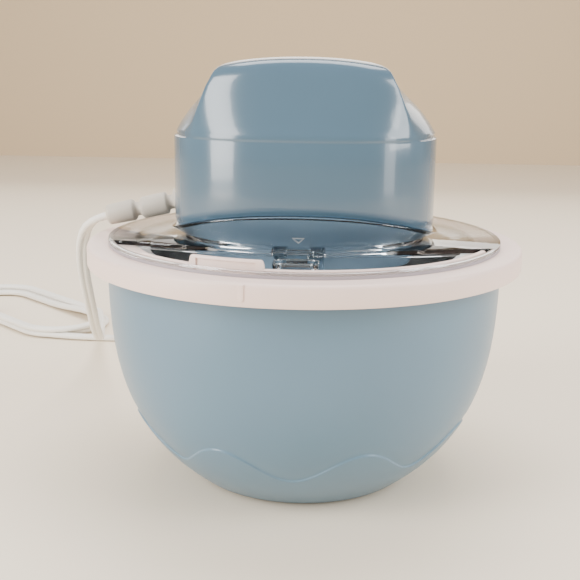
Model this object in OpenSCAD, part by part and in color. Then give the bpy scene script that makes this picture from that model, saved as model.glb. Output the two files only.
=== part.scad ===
// Ice cream maker: a motor unit on a clear lid, over a freezer bowl that stands in an outer bowl.
// Millimetres, +Z up. The origin is on the bowl's axis, on the table. The front faces -Y.

/* [Outer bowl] */
// Radius of the outer bowl at its rim
bowl_r = 81.9; // [80:0.1:84]
// Radius of the outer bowl at its foot
foot_r = 45.2; // [40:0.1:56]
// Height of the outer bowl's rim above the table
bowl_h = 97.9; // [84:0.1:120]
// How late the side of the outer bowl turns upright
bowl_curve = 3.85; // [3:0.05:5]
// Wall of the outer bowl
bowl_wall = 2.4; // [1.6:0.1:3]
// Radius of a rubber foot pad
pad_r = 6; // [4:0.5:8]
// How far the foot pads stand out below the outer bowl
pad_proud = 0.8; // [0.5:0.1:2]

/* [Freezer bowl] */
// Outer radius of the collar
ring_r = 90; // [88:0.5:96]
// Height of the collar's outer wall
ring_h = 8.3; // [6:0.1:12]
// Thickness of the collar's plate and wall
ring_t = 2; // [1.5:0.1:3]
// Radius of the collar's inner edge
mouth_r = 70; // [66:0.5:72]
// Height of the low upstand above the collar
upstand_h = 2.7; // [1.5:0.1:3.5]
// Height of the lifting lug above the collar
lug_h = 5.8; // [4:0.1:8]
// Radius of the freezer bowl's outer shell
shell_r = 77; // [76:0.1:78]
// Wall of the freezer bowl's outer shell
shell_wall = 1.6; // [1:0.1:2]
// Gap between the freezer bowl and the outer bowl
shell_gap = 1.5; // [1:0.1:3]
// Inner radius of the metal liner at its top
liner_r = 64.5; // [60:0.5:66]
// Inner radius of the metal liner at its floor
liner_foot_r = 46; // [40:0.5:50]
// Depth of the metal liner
liner_depth = 74; // [60:0.5:78]
// Wall of the metal liner
liner_wall = 1; // [0.6:0.1:1.5]

/* [Lid] */
// Outer radius of the lid
lid_r = 81.3; // [80.5:0.1:84]
// Thickness of the lid's flat top
lid_t = 1.9; // [1.5:0.1:3]
// Width of the lid's bar across the front of the feed opening
lid_bar = 2.1; // [1.5:0.1:2.4]
// Distance from the axis to the front edge of the lid's flat top
chord_y = 39.5; // [39:0.1:44]
// How far the front edge falls back at the ends of the feed opening
chord_bow = 15; // [8:0.5:18]
// Height of the soft seal under the lid's rim
seal_h = 1.1; // [0.8:0.1:2]
// Wall of the clear socket around the motor unit
socket_t = 1.6; // [1.2:0.1:2]
// Width of the release tab
tab_w = 19.2; // [14:0.1:22]
// Width of the thumb loop
loop_w = 17; // [12:0.5:18]

/* [Motor unit] */
// Half of the motor housing's width
body_a = 53.5; // [50:0.5:58]
// Half of the motor housing's depth
body_b = 45; // [44:0.5:50]
// Half of the motor base's width where it passes the lid
base_a = 46; // [44:0.1:48]
// Half of the motor base's depth where it passes the lid
base_b = 36; // [35:0.1:36.5]
// Depth of the motor base below the lid's flat top
base_drop = 9.3; // [8:0.1:12]
// Height of the motor housing above the lid's flat top
body_h = 72.2; // [66:0.1:84]
// Wall of the motor housing
body_wall = 2.2; // [1.5:0.1:3]
// How far the seam rises at the front
seam_rise = 10.3; // [5:0.1:12]
// Radius of the motor can
can_r = 14; // [12:0.5:14]
// Length of the motor can
can_h = 34; // [28:0.5:38]

/* [Gears] */
// Tooth size of the gears, as a module
gear_m = 0.7; // [0.65:0.01:0.72]
// Teeth on each small gear
small_teeth = 12; // [12:1:13]
// Teeth on each large gear
large_teeth = 48; // [44:1:48]
// Thickness of each gear's toothed part
gear_t = 3; // [2.5:0.1:3.4]
// Play between two meshing teeth
backlash = 0.16; // [0.1:0.01:0.3]

/* [Paddle] */
// Gap between the paddle and the liner's wall
paddle_gap = 2.5; // [1.5:0.1:5]
// Thickness of the paddle's blade
blade_t = 3; // [2:0.1:5]
// Radius of the paddle's hub
hub_r = 8; // [7:0.5:10]
// Distance across the flats of the drive shaft
hex_af = 7; // [6:0.1:7.4]

/* [Fits] */
// Gap between pieces that lift apart
lift_gap = 0.4; // [0.3:0.05:0.6]
// Gap between a seat and what stands on it
seat_gap = 0.05; // [0.02:0.01:0.1]
// Radial clearance of a running fit
run_gap = 0.05; // [0.02:0.01:0.1]

/* [Hidden] */
round_fn = 96;
small_fn = 48;

// Heights that the pieces share, from the table up
seat_z = bowl_h + 0.1;
ring_z = seat_z + ring_t;
skirt_z = ring_z - ring_h;
seal_z = ring_z + seat_gap;
rim_z = seal_z + seal_h;
lid_under_z = ring_z + 0.4;
lid_z = lid_under_z + lid_t;
base_z = lid_z - base_drop;
base_floor = 3;
gear_z = base_z + base_floor + 3.6;
level_h = 4.6;
plate_z = gear_z + 2 * level_h + gear_t + 1.3;
plate_t = 2;
can_z = plate_z + plate_t;
top_z = lid_z + body_h;
seam_z = lid_z + 3;

// Outer bowl
curve_h = bowl_h + 11.2;
bowl_steps = 24;
pad_sink = 1;
pad_place_r = foot_r - pad_r - 3.2;
function bowl_out(z) =
    foot_r + (bowl_r - foot_r) * (1 - pow(1 - z / curve_h, bowl_curve));

// Freezer bowl
shell_z = 12;
shell_steps = 16;
function shell_out(z) = min(shell_r, bowl_out(z) - bowl_wall - shell_gap);
gasket_h = 1;
flange_z = seat_z - gasket_h - liner_wall;
liner_z = flange_z + liner_wall - liner_depth;
liner_steps = 14;
function liner_in(z) =
    liner_foot_r + (liner_r - liner_foot_r) * (1 - pow(1 - (z - liner_z) / liner_depth, 4));
pin_r = 3;
pin_h = 5;
locate_r = bowl_r - bowl_wall - lift_gap;
upstand_r = lid_r - lid_bar - lift_gap - ring_t;
upstand_from = -48;
upstand_to = 66;
lug_from = -28;
lug_to = -7;
tick_angle = -10.4;

// Motor unit's plan: a rounded oval whose corners are fuller than an ellipse's
oval_n = 2.35;
ring_points = 64;
function sgn(v) = v < 0 ? -1 : 1;
function oval(a, b, n, t) =
    [a * sgn(cos(t)) * pow(abs(cos(t)), 2 / n), b * sgn(sin(t)) * pow(abs(sin(t)), 2 / n)];
function smooth(u) = let(v = min(max(u, 0), 1)) v * v * (3 - 2 * v);

// The seam and the socket's rim rise in an S on each side of the front's middle
rise_power = 2.7;
function seam_at(p) =
    seam_z + seam_rise * pow(max(-p[1], 0) / body_b, rise_power);
function seam_of(t) = seam_at(oval(body_a, body_b, oval_n, t));

// Places of the gear axes: one gear distance apart, folded round the drive shaft
gear_dist = gear_m * (small_teeth + large_teeth) / 2;
place_low = gear_dist * [cos(120), sin(120)];
place_high = gear_dist * [cos(60), sin(60)];
place_motor = gear_dist * [1, 0];
axle_r = 1.5;
shaft_r = 4;
journal_r = 2.3;
motor_shaft_r = 1.5;
post_place = [34, 15];
post_r = 3.5;
boss_place = [40, 10];
boss_r = 3.6;
boss_gap = 0.2;

// Latch pocket of the motor base, and the catch in it
pocket_w = 19.4;
pocket_deep = 4;
pocket_z = lid_z + 1.2;
catch_w = 10;
catch_top = lid_z - 0.7;

// Rocker switch at the back
switch_w = 19;
switch_h = 13;
switch_z = lid_z + 28;
rocker_tilt = 7;

// Flat twin cord, its route and its hank
cord_w = 5.6;
cord_t = 3.2;
cord_sides = 10;
cord_start = [-86.7, 10.5, 106.5];
relief_from = [-52.2, 12.3, 114.2];
cord_route = [
    cord_start, [-91, 10.4, 105], [-96, 12, 101.5], [-100, 17, 94.5], [-103, 25, 85],
    [-105.5, 36, 73], [-108, 50, 60], [-111, 66, 47], [-115, 84, 35.5], [-119, 103, 25.5],
    [-124, 123, 17.5], [-129, 143, 12], [-134, 162, 9], [-138.5, 180, 7.6], [-143, 198, 6.8],
    [-148, 213, 6.2], [-152.3, 227.4, 5.8]
];
hank_place = [-203.7, 236];
hank_turn = 138;
hank_run = 88;
hank_mid = 25.1;
hank_z = 0.7;
tail_route = [
    [-171, 178.7, 2.3], [-158, 176.8, 2.1], [-145, 176.2, 1.9], [-132, 176.6, 1.7],
    [-118, 177.2, 1.7], [-104, 177, 1.8], [-92, 176, 2.6], [-81, 174.4, 4.6], [-71, 172.6, 6.8],
    [-63, 171, 7.3]
];
plug_place = [-63, 171, 7.3];
plug_turn = -11;

// ---------- helpers ----------

// Faces of a stack of rings, each with count points, closed by a cap at each end
function stack_faces(rings, count) = concat(
    [[for (i = [0:count - 1]) i]],
    [for (k = [0:rings - 2], i = [0:count - 1])
        let(j = (i + 1) % count) [(k + 1) * count + j, k * count + j, k * count + i]],
    [for (k = [0:rings - 2], i = [0:count - 1])
        let(j = (i + 1) % count) [(k + 1) * count + i, (k + 1) * count + j, k * count + i]],
    [[for (i = [count - 1:-1:0]) (rings - 1) * count + i]]
);

// Closed wall whose section is given at each angle as a loop of points
module loop_wall(sections) {
    n = len(sections);
    m = len(sections[0]);
    points = [for (s = sections, p = s) p];
    faces = [for (i = [0:n - 1], j = [0:m - 1], h = [0, 1])
        let(a = i * m + j, b = i * m + (j + 1) % m)
        let(c = ((i + 1) % n) * m + (j + 1) % m, d = ((i + 1) % n) * m + j)
        h == 0 ? [a, b, c] : [a, c, d]];
    polyhedron(points, faces);
}

function unit(v) = v / norm(v);
function tangent(route, i) =
    unit(route[min(i + 1, len(route) - 1)] - route[max(i - 1, 0)]);

// Flat tube along a route: wide across, thin upright
module flat_tube(route, wide, thin, sides) {
    points = [for (i = [0:len(route) - 1], k = [0:sides - 1])
        let(t = tangent(route, i), s = unit(cross(t, [0, 0, 1])), u = cross(s, t))
        let(a = k * 360 / sides)
        route[i] + s * wide / 2 * cos(a) + u * thin / 2 * sin(a)];
    polyhedron(points, stack_faces(len(route), sides));
}

// Outline of an involute gear with a tooth's middle on +X
function involute(a) = tan(a) * 180 / PI - a;
function half_tooth(r, teeth, m) =
    let(rp = m * teeth / 2, rb = rp * cos(20), a = r > rb ? acos(rb / r) : 0)
    90 / teeth - backlash / 4 / rp * 180 / PI + involute(20) - involute(a);
function gear_points(teeth, m) =
    let(rp = m * teeth / 2, lo = rp - 1.2 * m, hi = rp + 0.88 * m)
    let(radii = [lo, rp * cos(20) < lo ? lo + 0.2 : max(rp * cos(20), lo + 0.05), rp, hi])
    [for (i = [0:teeth - 1], s = [-1, 1], k = [0:3])
        let(r = s < 0 ? radii[k] : radii[3 - k], a = i * 360 / teeth + s * half_tooth(r, teeth, m))
        r * [cos(a), sin(a)]];

// Gear at a place, with a tooth pointing along turn
module gear_wheel(place, teeth, turn, z, h, bore) {
    translate([place[0], place[1], z])
    difference() {
        rotate([0, 0, turn])
        linear_extrude(height = h)
        polygon(gear_points(teeth, gear_m));
        translate([0, 0, -1])
        cylinder(r = bore, h = h + 2, $fn = small_fn);
    }
}

// Hole or pin along Z at each corner of a rectangle
module at_corners(place) {
    for (x = [-1, 1], y = [-1, 1])
        translate([x * place[0], y * place[1], 0])
        children();
}

// Piece along a line from one point to another, drawn along +Z
module along(from, to) {
    v = to - from;
    translate(from)
    rotate([0, acos(v[2] / norm(v)), atan2(v[1], v[0])])
    children();
}

// ---------- outer bowl ----------

module outer_bowl() {
    floor_z = pad_proud + bowl_wall;
    outside = [for (i = [0:bowl_steps])
        let(u = i / bowl_steps, z = pad_proud + (bowl_h - pad_proud) * u * u) [bowl_out(z), z]];
    inside = [for (i = [bowl_steps:-1:0])
        let(u = i / bowl_steps, z = floor_z + (bowl_h - floor_z) * u * u)
        [bowl_out(z) - bowl_wall * (i == 0 ? 1.6 : 1), z]];
    color("#9cc3da")
    difference() {
        rotate_extrude($fn = round_fn)
        polygon(concat([[0, pad_proud]], outside, inside, [[0, floor_z]]));
        for (a = [45:90:315])
            rotate([0, 0, a])
            translate([pad_place_r, 0, -1])
            cylinder(r = pad_r, h = 1 + pad_proud + pad_sink, $fn = small_fn);
    }
}

module foot_pads() {
    color("#8d8f90")
    for (a = [45:90:315])
        rotate([0, 0, a])
        translate([pad_place_r, 0, 0])
        cylinder(r = pad_r, h = pad_proud + pad_sink, $fn = small_fn);
}

// ---------- freezer bowl ----------

// Part of a ring on the collar, between two angles measured from the front
module collar_arc(from, to, r, t, z, h) {
    rotate([0, 0, from - 90])
    rotate_extrude(angle = to - from, $fn = round_fn)
    translate([r, z])
    square([t, h]);
}

module bowl_collar() {
    edge = 0.9;
    panel_deep = 0.8;
    lug_proud = 0.15;
    post_angle = 2.3;
    tick_w = 1.9;
    tick_h = 5.9;
    locate_h = 4;
    color("#f0e2de") {
        difference() {
            union() {
                rotate_extrude($fn = round_fn)
                polygon([
                    [mouth_r, seat_z], [mouth_r, ring_z - 0.4], [mouth_r + 0.4, ring_z],
                    [ring_r - edge, ring_z], [ring_r - edge * 0.29, ring_z - edge * 0.29],
                    [ring_r, ring_z - edge], [ring_r, skirt_z + 0.4], [ring_r - 0.4, skirt_z],
                    [ring_r - ring_t, skirt_z], [ring_r - ring_t, seat_z],
                    [locate_r, seat_z], [locate_r, seat_z - locate_h],
                    [shell_r + 0.1, seat_z - locate_h], [shell_r + 0.1, seat_z]
                ]);
                collar_arc(upstand_from, upstand_to, upstand_r, ring_t, ring_z - 0.5, upstand_h + 0.5);
                collar_arc(lug_from, lug_to, upstand_r - lug_proud, ring_t + 2 * lug_proud,
                    ring_z - 0.8, lug_h + 0.8);
            }
            collar_arc(lug_from + post_angle, lug_to - post_angle,
                upstand_r + ring_t + lug_proud - panel_deep, ring_t, ring_z + 0.3, lug_h - 1.9);
        }
        rotate([0, 0, tick_angle])
        translate([-tick_w / 2, -ring_r - 0.5, ring_z - tick_h - 0.4])
        cube([tick_w, 1.5, tick_h]);
    }
}

module freezer_shell() {
    floor_z = shell_z + shell_wall;
    outside = [for (i = [0:shell_steps])
        let(z = shell_z + (seat_z - shell_z) * pow(i / shell_steps, 1.6)) [shell_out(z), z]];
    inside = [for (i = [shell_steps:-1:0])
        let(z = floor_z + (seat_z - floor_z) * pow(i / shell_steps, 1.6))
        [shell_out(z) - shell_wall, z]];
    color("#eceae6")
    rotate_extrude($fn = round_fn)
    polygon(concat([[0, shell_z]], outside, inside, [[0, floor_z]]));
}

module freezer_liner() {
    floor_z = liner_z;
    inside = [for (i = [0:liner_steps])
        let(z = liner_z + liner_depth * pow(i / liner_steps, 2)) [liner_in(z), z]];
    outside = [for (i = [liner_steps:-1:0])
        let(z = liner_z - liner_wall + (flange_z - liner_z + liner_wall) * pow(i / liner_steps, 2))
        [liner_in(max(z, liner_z)) + liner_wall, z]];
    flange_r = shell_r - shell_wall - 1;
    color("#c9cccf") {
        rotate_extrude($fn = round_fn)
        polygon(concat([[0, floor_z]], inside,
            [[flange_r, flange_z + liner_wall], [flange_r, flange_z]],
            outside, [[0, floor_z - liner_wall]]));
        translate([0, 0, liner_z - liner_wall / 2])
        cylinder(r = pin_r, h = pin_h + liner_wall / 2, $fn = small_fn);
    }
}

module coolant_gel() {
    skin = 0.1;
    gel_low = shell_z + shell_wall + skin;
    gel_high = flange_z - 6;
    gel_steps = 12;
    outside = [for (i = [0:gel_steps])
        let(z = gel_low + (gel_high - gel_low) * pow(i / gel_steps, 1.6))
        [shell_out(z) - shell_wall - 6 * skin, z]];
    inside = [for (i = [gel_steps:-1:0])
        let(z = liner_z - liner_wall - skin + (gel_high - liner_z + liner_wall + skin) * pow(i / gel_steps, 2))
        [liner_in(max(z, liner_z)) + liner_wall + 6 * skin, z]];
    color("#b7d4e4")
    rotate_extrude($fn = round_fn)
    polygon(concat([[0, gel_low]], outside, inside, [[0, liner_z - liner_wall - skin]]));
}

module bowl_gasket() {
    color("#6f7376")
    rotate_extrude($fn = round_fn)
    translate([mouth_r + 1, seat_z - gasket_h])
    square([3, gasket_h]);
}

// ---------- lid ----------

module lid_seal() {
    color("#c9c4c6")
    rotate_extrude($fn = round_fn)
    translate([lid_r - lid_bar, seal_z])
    square([lid_bar, seal_h]);
}

// Outline in front of the lid's flat top: back shifts it towards the axis
module front_region(back) {
    edge = [for (x = [-lid_r:6:lid_r]) [x, back - chord_y + chord_bow * pow(x / 74, 2)]];
    polygon(concat(edge, [[lid_r + 6, -lid_r - 6], [-lid_r, -lid_r - 6]]));
}

module lid() {
    inner_r = lid_r - lid_bar;
    lip_h = 2.7;
    lip_t = 1.6;
    plug_h = lid_under_z - seat_z - 0.2;
    slit = tab_w / 2 + 0.3;
    foot_a = base_a + lift_gap;
    foot_b = base_b + lift_gap;
    color("#dfeaee", 0.4) {
        difference() {
            union() {
                // flat top, and the thinner rim that lies on the seal
                translate([0, 0, lid_under_z])
                cylinder(r = inner_r - 0.2, h = lid_t, $fn = round_fn);
                translate([0, 0, rim_z])
                cylinder(r = lid_r, h = lid_z - rim_z, $fn = round_fn);
                // lip under the front edge
                translate([0, 0, lid_z - lip_h])
                linear_extrude(height = lip_h)
                intersection() {
                    circle(r = mouth_r - 0.7, $fn = round_fn);
                    difference() {
                        front_region(lip_t);
                        front_region(0);
                    }
                }
                // locating skirt behind the feed opening
                collar_arc(95, 265, mouth_r - lift_gap - 2, 2, lid_under_z - plug_h, plug_h + 0.5);
            }
            // feed opening
            translate([0, 0, ring_z - 8])
            linear_extrude(height = 20)
            intersection() {
                circle(r = inner_r, $fn = round_fn);
                front_region(0);
            }
            // hole for the motor base
            translate([0, 0, ring_z - 8])
            linear_extrude(height = 20)
            polygon([for (i = [0:ring_points - 1])
                oval(foot_a, foot_b, oval_n, i * 360 / ring_points)]);
            // gap for the release tab
            translate([-slit, -chord_y - 1, ring_z - 8])
            cube([2 * slit, chord_y + 1.5 - foot_b, 12]);
        }
        lid_socket(foot_a, foot_b);
    }
}

// Clear wall that flares up from the flat top around the motor base, to a rim that follows the seam
module lid_socket(foot_a, foot_b) {
    flare = 7.4;
    steps = 4;
    low = lid_z - 0.4;
    function wall_point(t, u, out) =
        let(p = oval(foot_a + out + flare * pow(u, 1.15), foot_b + out + (flare + 1.2) * pow(u, 1.15), oval_n, t))
        [p[0], p[1], low + (seam_of(t) - low) * u];
    loop_wall([for (i = [0:ring_points - 1])
        let(t = i * 360 / ring_points)
        concat(
            [for (k = [0:steps]) wall_point(t, k / steps, socket_t)],
            [for (k = [steps:-1:0]) wall_point(t, k / steps, 0)]
        )]);
}

module release_tab() {
    tab_z = lid_z - 2.7;
    loop_z = lid_z - 4.2;
    loop_back = -chord_y - 8.5;
    loop_deep = 12;
    slot_w = loop_w - 4;
    slot_deep = 6;
    color("#e6f0f3", 0.5) {
        // front plate between the slits
        translate([-tab_w / 2, -chord_y, tab_z])
        cube([tab_w, 1, lid_z - 0.3 - tab_z]);
        // bar under the socket and catch in the latch pocket
        translate([-tab_w / 2, -chord_y, tab_z])
        cube([tab_w, 2.2, 1.3]);
        translate([-catch_w / 2, -chord_y, tab_z])
        cube([catch_w, chord_y - base_b + 2, 1.3]);
        // arm to the thumb loop
        hull() {
            translate([-4, -chord_y, tab_z])
            cube([8, 1.2, 1.3]);
            translate([-4, loop_back - 1, loop_z + 0.4])
            cube([8, 1, 1.3]);
        }
        // thumb loop
        translate([0, loop_back - loop_deep / 2, loop_z])
        difference() {
            linear_extrude(height = 2.6)
            offset(r = 3, $fn = 32)
            square([loop_w - 6, loop_deep - 6], center = true);
            translate([0, 0.6, -1])
            linear_extrude(height = 5)
            offset(r = 2, $fn = 32)
            square([slot_w - 4, slot_deep - 4], center = true);
        }
    }
}

// ---------- paddle ----------

hub_top = base_z - 4;
hub_low = liner_z + 1;

module paddle() {
    arm_low = liner_z + paddle_gap;
    arm_high = hub_top - 12;
    rim = 7;
    steps = 10;
    edge = [for (i = [0:steps])
        let(z = arm_low + (arm_high - arm_low) * i / steps) [liner_in(z) - paddle_gap - 1, z]];
    window = [for (i = [0:steps])
        let(z = arm_low + rim + (arm_high - arm_low - 2 * rim) * i / steps)
        [liner_in(z) - paddle_gap - 1 - rim, z]];
    color("#f4f3ef")
    difference() {
        union() {
            translate([0, 0, hub_low])
            cylinder(r = hub_r, h = hub_top - hub_low, $fn = small_fn);
            for (side = [0, 180])
                rotate([0, 0, side])
                rotate([90, 0, 0])
                translate([0, 0, -blade_t / 2])
                linear_extrude(height = blade_t)
                difference() {
                    polygon(concat([[0, arm_low]], edge, [[0, arm_high]]));
                    polygon(concat([[hub_r + 6, arm_low + rim]], window, [[hub_r + 6, arm_high - rim]]));
                }
            // slanted vanes inside the frame
            for (side = [0, 180])
                rotate([0, 0, side])
                translate([hub_r + 13, 0, (arm_low + arm_high) / 2])
                rotate([24, 0, 0])
                cube([20, blade_t, arm_high - arm_low - rim], center = true);
        }
        // hexagonal socket for the drive shaft, and the seat on the liner's pin
        translate([0, 0, hub_top - 18])
        cylinder(r = (hex_af / 2 + 0.2) / cos(30), h = 20, $fn = 6);
        translate([0, 0, hub_low - 1])
        cylinder(r = pin_r + 0.4, h = pin_h + 1.6, $fn = small_fn);
    }
}

// ---------- motor unit ----------

// Levels of the housing's outside, from the seam's edge to the crowned top:
// [height, half width, half depth, fullness]. The lowest two are heights above the seam.
crease_z = top_z - 28.5;
edge_levels = [[0.4, body_a - 1.4, body_b - 1.4, oval_n], [4, body_a, body_b, oval_n]];
housing_levels = [
    [crease_z - 1, body_a - 0.1, body_b - 0.1, oval_n], [crease_z + 2, body_a - 1.8, body_b - 0.8, 2.4],
    [crease_z + 8, body_a - 6.3, body_b - 2.6, 2.6], [crease_z + 15, body_a - 12, body_b - 4.8, 2.9],
    [crease_z + 21.5, body_a - 17, body_b - 6.8, 3.2], [top_z - 3.4, body_a - 18.9, body_b - 8.4, 3.3],
    [top_z - 1.4, body_a - 21, body_b - 10.6, 3.3], [top_z - 0.4, body_a - 26, body_b - 15.5, 3.2],
    [top_z, body_a - 33, body_b - 23, 3]
];
roof_level = 5;

// One ring of the housing's skin at a level; from_seam measures its height from the seam
function skin_ring(l, inward, from_seam) = [for (i = [0:ring_points - 1])
    let(t = i * 360 / ring_points, p = oval(l[1] - inward, l[2] - inward, l[3], t))
    [p[0], p[1], l[0] + (from_seam ? seam_of(t) : 0)]];

// The housing's skin, in one piece: down the inside, round the seam's edge and up the outside
module housing_skin() {
    roof = housing_levels[roof_level];
    rings = concat(
        [skin_ring([top_z - body_wall, roof[1] - 3, roof[2] - 3, roof[3]], body_wall, false)],
        [for (k = [roof_level - 1:-1:0]) skin_ring(housing_levels[k], body_wall, false)],
        [for (k = [1, 0]) skin_ring(edge_levels[k], body_wall, true)],
        [for (k = [0, 1]) skin_ring(edge_levels[k], 0, true)],
        [for (l = housing_levels) skin_ring(l, 0, false)]
    );
    polyhedron([for (r = rings, p = r) p], stack_faces(len(rings), ring_points));
}

module motor_housing() {
    boss_z = plate_z - 4 + boss_gap;
    boss_h = 16;
    rib_t = 2;
    rib_to = body_a - 1.9;
    color("#9cc3da")
    difference() {
        union() {
            housing_skin();
            // bosses for the housing screws, each on a rib from the side wall
            for (x = [-1, 1], y = [-1, 1]) {
                translate([x * boss_place[0], y * boss_place[1], boss_z])
                cylinder(r = boss_r, h = boss_h, $fn = small_fn);
                translate([x > 0 ? boss_place[0] : -rib_to, y * boss_place[1] - rib_t / 2, boss_z])
                cube([rib_to - boss_place[0], rib_t, boss_h - 1]);
            }
        }
        at_corners(boss_place)
        translate([0, 0, boss_z - 1])
        cylinder(r = 1.3, h = boss_h - 2, $fn = 24);
        // opening for the rocker switch
        translate([-switch_w / 2, body_b - 8, switch_z - switch_h / 2])
        cube([switch_w, 16, switch_h]);
        // opening for the strain relief
        along(relief_from, cord_start)
        translate([0, 0, -8])
        cylinder(r = 3.6, h = 20, $fn = small_fn);
    }
}

module motor_base() {
    low = [base_a - 0.8, base_b - 0.6];
    steps = 4;
    flare = 7.2;
    function base_point(t, u, out) =
        let(p = oval(base_a + out + flare * pow(u, 1.15), base_b + out + (flare + 1.2) * pow(u, 1.15), oval_n, t))
        [p[0], p[1], lid_z + (seam_of(t) + 0.1 - lid_z) * u];
    function low_point(t, out) =
        let(p = oval(low[0] + out, low[1] + out, oval_n, t)) [p[0], p[1], base_z];
    wall = 2;
    color("#7fa3ba")
    difference() {
        union() {
            loop_wall([for (i = [0:ring_points - 1])
                let(t = i * 360 / ring_points)
                concat(
                    [low_point(t, 0)],
                    [for (k = [0:steps]) base_point(t, k / steps, 0)],
                    [for (k = [steps:-1:0]) base_point(t, k / steps, -wall)],
                    [low_point(t, -wall)]
                )]);
            translate([0, 0, base_z])
            linear_extrude(height = base_floor)
            polygon([for (i = [0:ring_points - 1]) oval(low[0] - 1, low[1] - 1, oval_n, i * 360 / ring_points)]);
            // backing of the latch pocket, and the block over the catch
            translate([-catch_w / 2 + 0.1, -base_b, catch_top])
            cube([catch_w - 0.2, pocket_deep + 1, pocket_z + 0.5 - catch_top]);
            translate([-pocket_w / 2 - 2, -base_b + 1.2, base_z])
            cube([pocket_w + 4, pocket_deep + 0.8, pocket_z + 2 - base_z]);
            // posts for the gear plate, and bosses for the housing screws
            at_corners(post_place)
            translate([0, 0, base_z])
            cylinder(r = post_r, h = plate_z - base_z, $fn = small_fn);
            at_corners(boss_place)
            translate([0, 0, base_z])
            cylinder(r = boss_r, h = plate_z - 4 - base_z, $fn = small_fn);
            // sockets of the shaft bush and of the gear axles
            translate([0, 0, base_z])
            cylinder(r = 9, h = gear_z - 0.6 - base_z, $fn = small_fn);
            for (p = [place_low, place_high])
                translate([p[0], p[1], base_z])
                cylinder(r = 3.4, h = gear_z - 0.6 - base_z, $fn = small_fn);
        }
        difference() {
            translate([-pocket_w / 2, -base_b - 10, base_z - 1])
            cube([pocket_w, pocket_deep + 10, pocket_z + 1 - base_z]);
            translate([-catch_w / 2 + 0.1, -base_b, catch_top])
            cube([catch_w - 0.2, pocket_deep + 1, pocket_z + 0.5 - catch_top]);
        }
        translate([0, 0, base_z - 1])
        cylinder(r = 6, h = 20, $fn = small_fn);
        for (p = [place_low, place_high])
            translate([p[0], p[1], base_z + 1.2])
            cylinder(r = axle_r, h = 20, $fn = small_fn);
        at_corners(post_place)
        translate([0, 0, plate_z - 9])
        cylinder(r = 1.2, h = 12, $fn = 24);
        at_corners(boss_place) {
            translate([0, 0, base_z - 1])
            cylinder(r = 1.7, h = 40, $fn = 24);
            translate([0, 0, base_z - 1])
            cylinder(r = 2.9, h = 5, $fn = small_fn);
        }
    }
}

module housing_screws() {
    color("#8a8d90")
    at_corners(boss_place) {
        translate([0, 0, base_z + 2])
        cylinder(r = 2.7, h = 1.9, $fn = small_fn);
        translate([0, 0, base_z + 3.9])
        cylinder(r = 1.25, h = plate_z + 4 - base_z, $fn = 24);
    }
}

module gear_plate() {
    color("#b9bdc0")
    difference() {
        translate([0, 0, plate_z])
        linear_extrude(height = plate_t)
        offset(r = 5, $fn = 32)
        square([2 * post_place[0] - 1, 2 * post_place[1] + 6], center = true);
        translate([0, 0, plate_z - 1])
        cylinder(r = journal_r + run_gap, h = 4, $fn = small_fn);
        for (p = [place_low, place_high])
            translate([p[0], p[1], plate_z - 1])
            cylinder(r = axle_r, h = 4, $fn = small_fn);
        translate([place_motor[0], place_motor[1], plate_z - 1])
        cylinder(r = 5.5, h = 4, $fn = small_fn);
        at_corners(post_place)
        translate([0, 0, plate_z - 1])
        cylinder(r = 1.6, h = 4, $fn = 24);
        // room for the housing screws' bosses
        at_corners(boss_place)
        translate([0, 0, plate_z - 1])
        cylinder(r = boss_r + 0.4, h = 4, $fn = small_fn);
    }
}

module gear_screws() {
    color("#8a8d90")
    at_corners(post_place) {
        translate([0, 0, can_z])
        cylinder(r = 2.6, h = 1.8, $fn = small_fn);
        translate([0, 0, can_z - 9])
        cylinder(r = 1.15, h = 9.2, $fn = 24);
    }
}

module gear_axles() {
    color("#9a9da0")
    for (p = [place_low, place_high])
        translate([p[0], p[1], base_z + 1.2])
        cylinder(r = axle_r, h = can_z - base_z - 1.2, $fn = small_fn);
}

module output_gear() {
    color("#efe9da")
    gear_wheel([0, 0], large_teeth, 120 + 180 / large_teeth, gear_z, gear_t, shaft_r);
}

module drive_shaft() {
    hex_low = hub_top - 16;
    color("#a9acaf") {
        translate([0, 0, hex_low])
        cylinder(r = hex_af / 2 / cos(30), h = base_z - 0.3 - hex_low, $fn = 6);
        translate([0, 0, base_z - 0.3])
        cylinder(r = shaft_r, h = gear_z + gear_t - base_z + 0.3, $fn = small_fn);
        translate([0, 0, gear_z])
        cylinder(r = journal_r, h = can_z - 0.2 - gear_z, $fn = small_fn);
    }
}

module shaft_bush() {
    color("#b08d4f")
    translate([0, 0, base_z + 1.6])
    difference() {
        cylinder(r = 6, h = gear_z - 0.6 - base_z - 1.6, $fn = small_fn);
        translate([0, 0, -1])
        cylinder(r = shaft_r + run_gap, h = 20, $fn = small_fn);
    }
}

module shaft_seal() {
    color("#3b3d3f")
    translate([0, 0, base_z])
    difference() {
        cylinder(r = 6, h = 1.6, $fn = small_fn);
        translate([0, 0, -1])
        cylinder(r = shaft_r + run_gap, h = 4, $fn = small_fn);
    }
}

// Compound gear: its small gear drives the level below, its large gear is driven at its own level
module idler(place, small_turn, large_turn, z) {
    bore = axle_r + run_gap;
    gear_wheel(place, small_teeth, small_turn, z, gear_t, bore);
    translate([place[0], place[1], z + gear_t - 0.2])
    difference() {
        cylinder(r = 3, h = level_h - gear_t + 0.4, $fn = small_fn);
        translate([0, 0, -1])
        cylinder(r = bore, h = 6, $fn = small_fn);
    }
    gear_wheel(place, large_teeth, large_turn, z + level_h, gear_t, bore);
}

module idler_gear_low() {
    color("#e3dcc8")
    idler(place_low, -60, 180 / large_teeth, gear_z);
}

module idler_gear_high() {
    color("#e9e3d2")
    idler(place_high, 180, -60 + 180 / large_teeth, gear_z + level_h);
}

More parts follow.
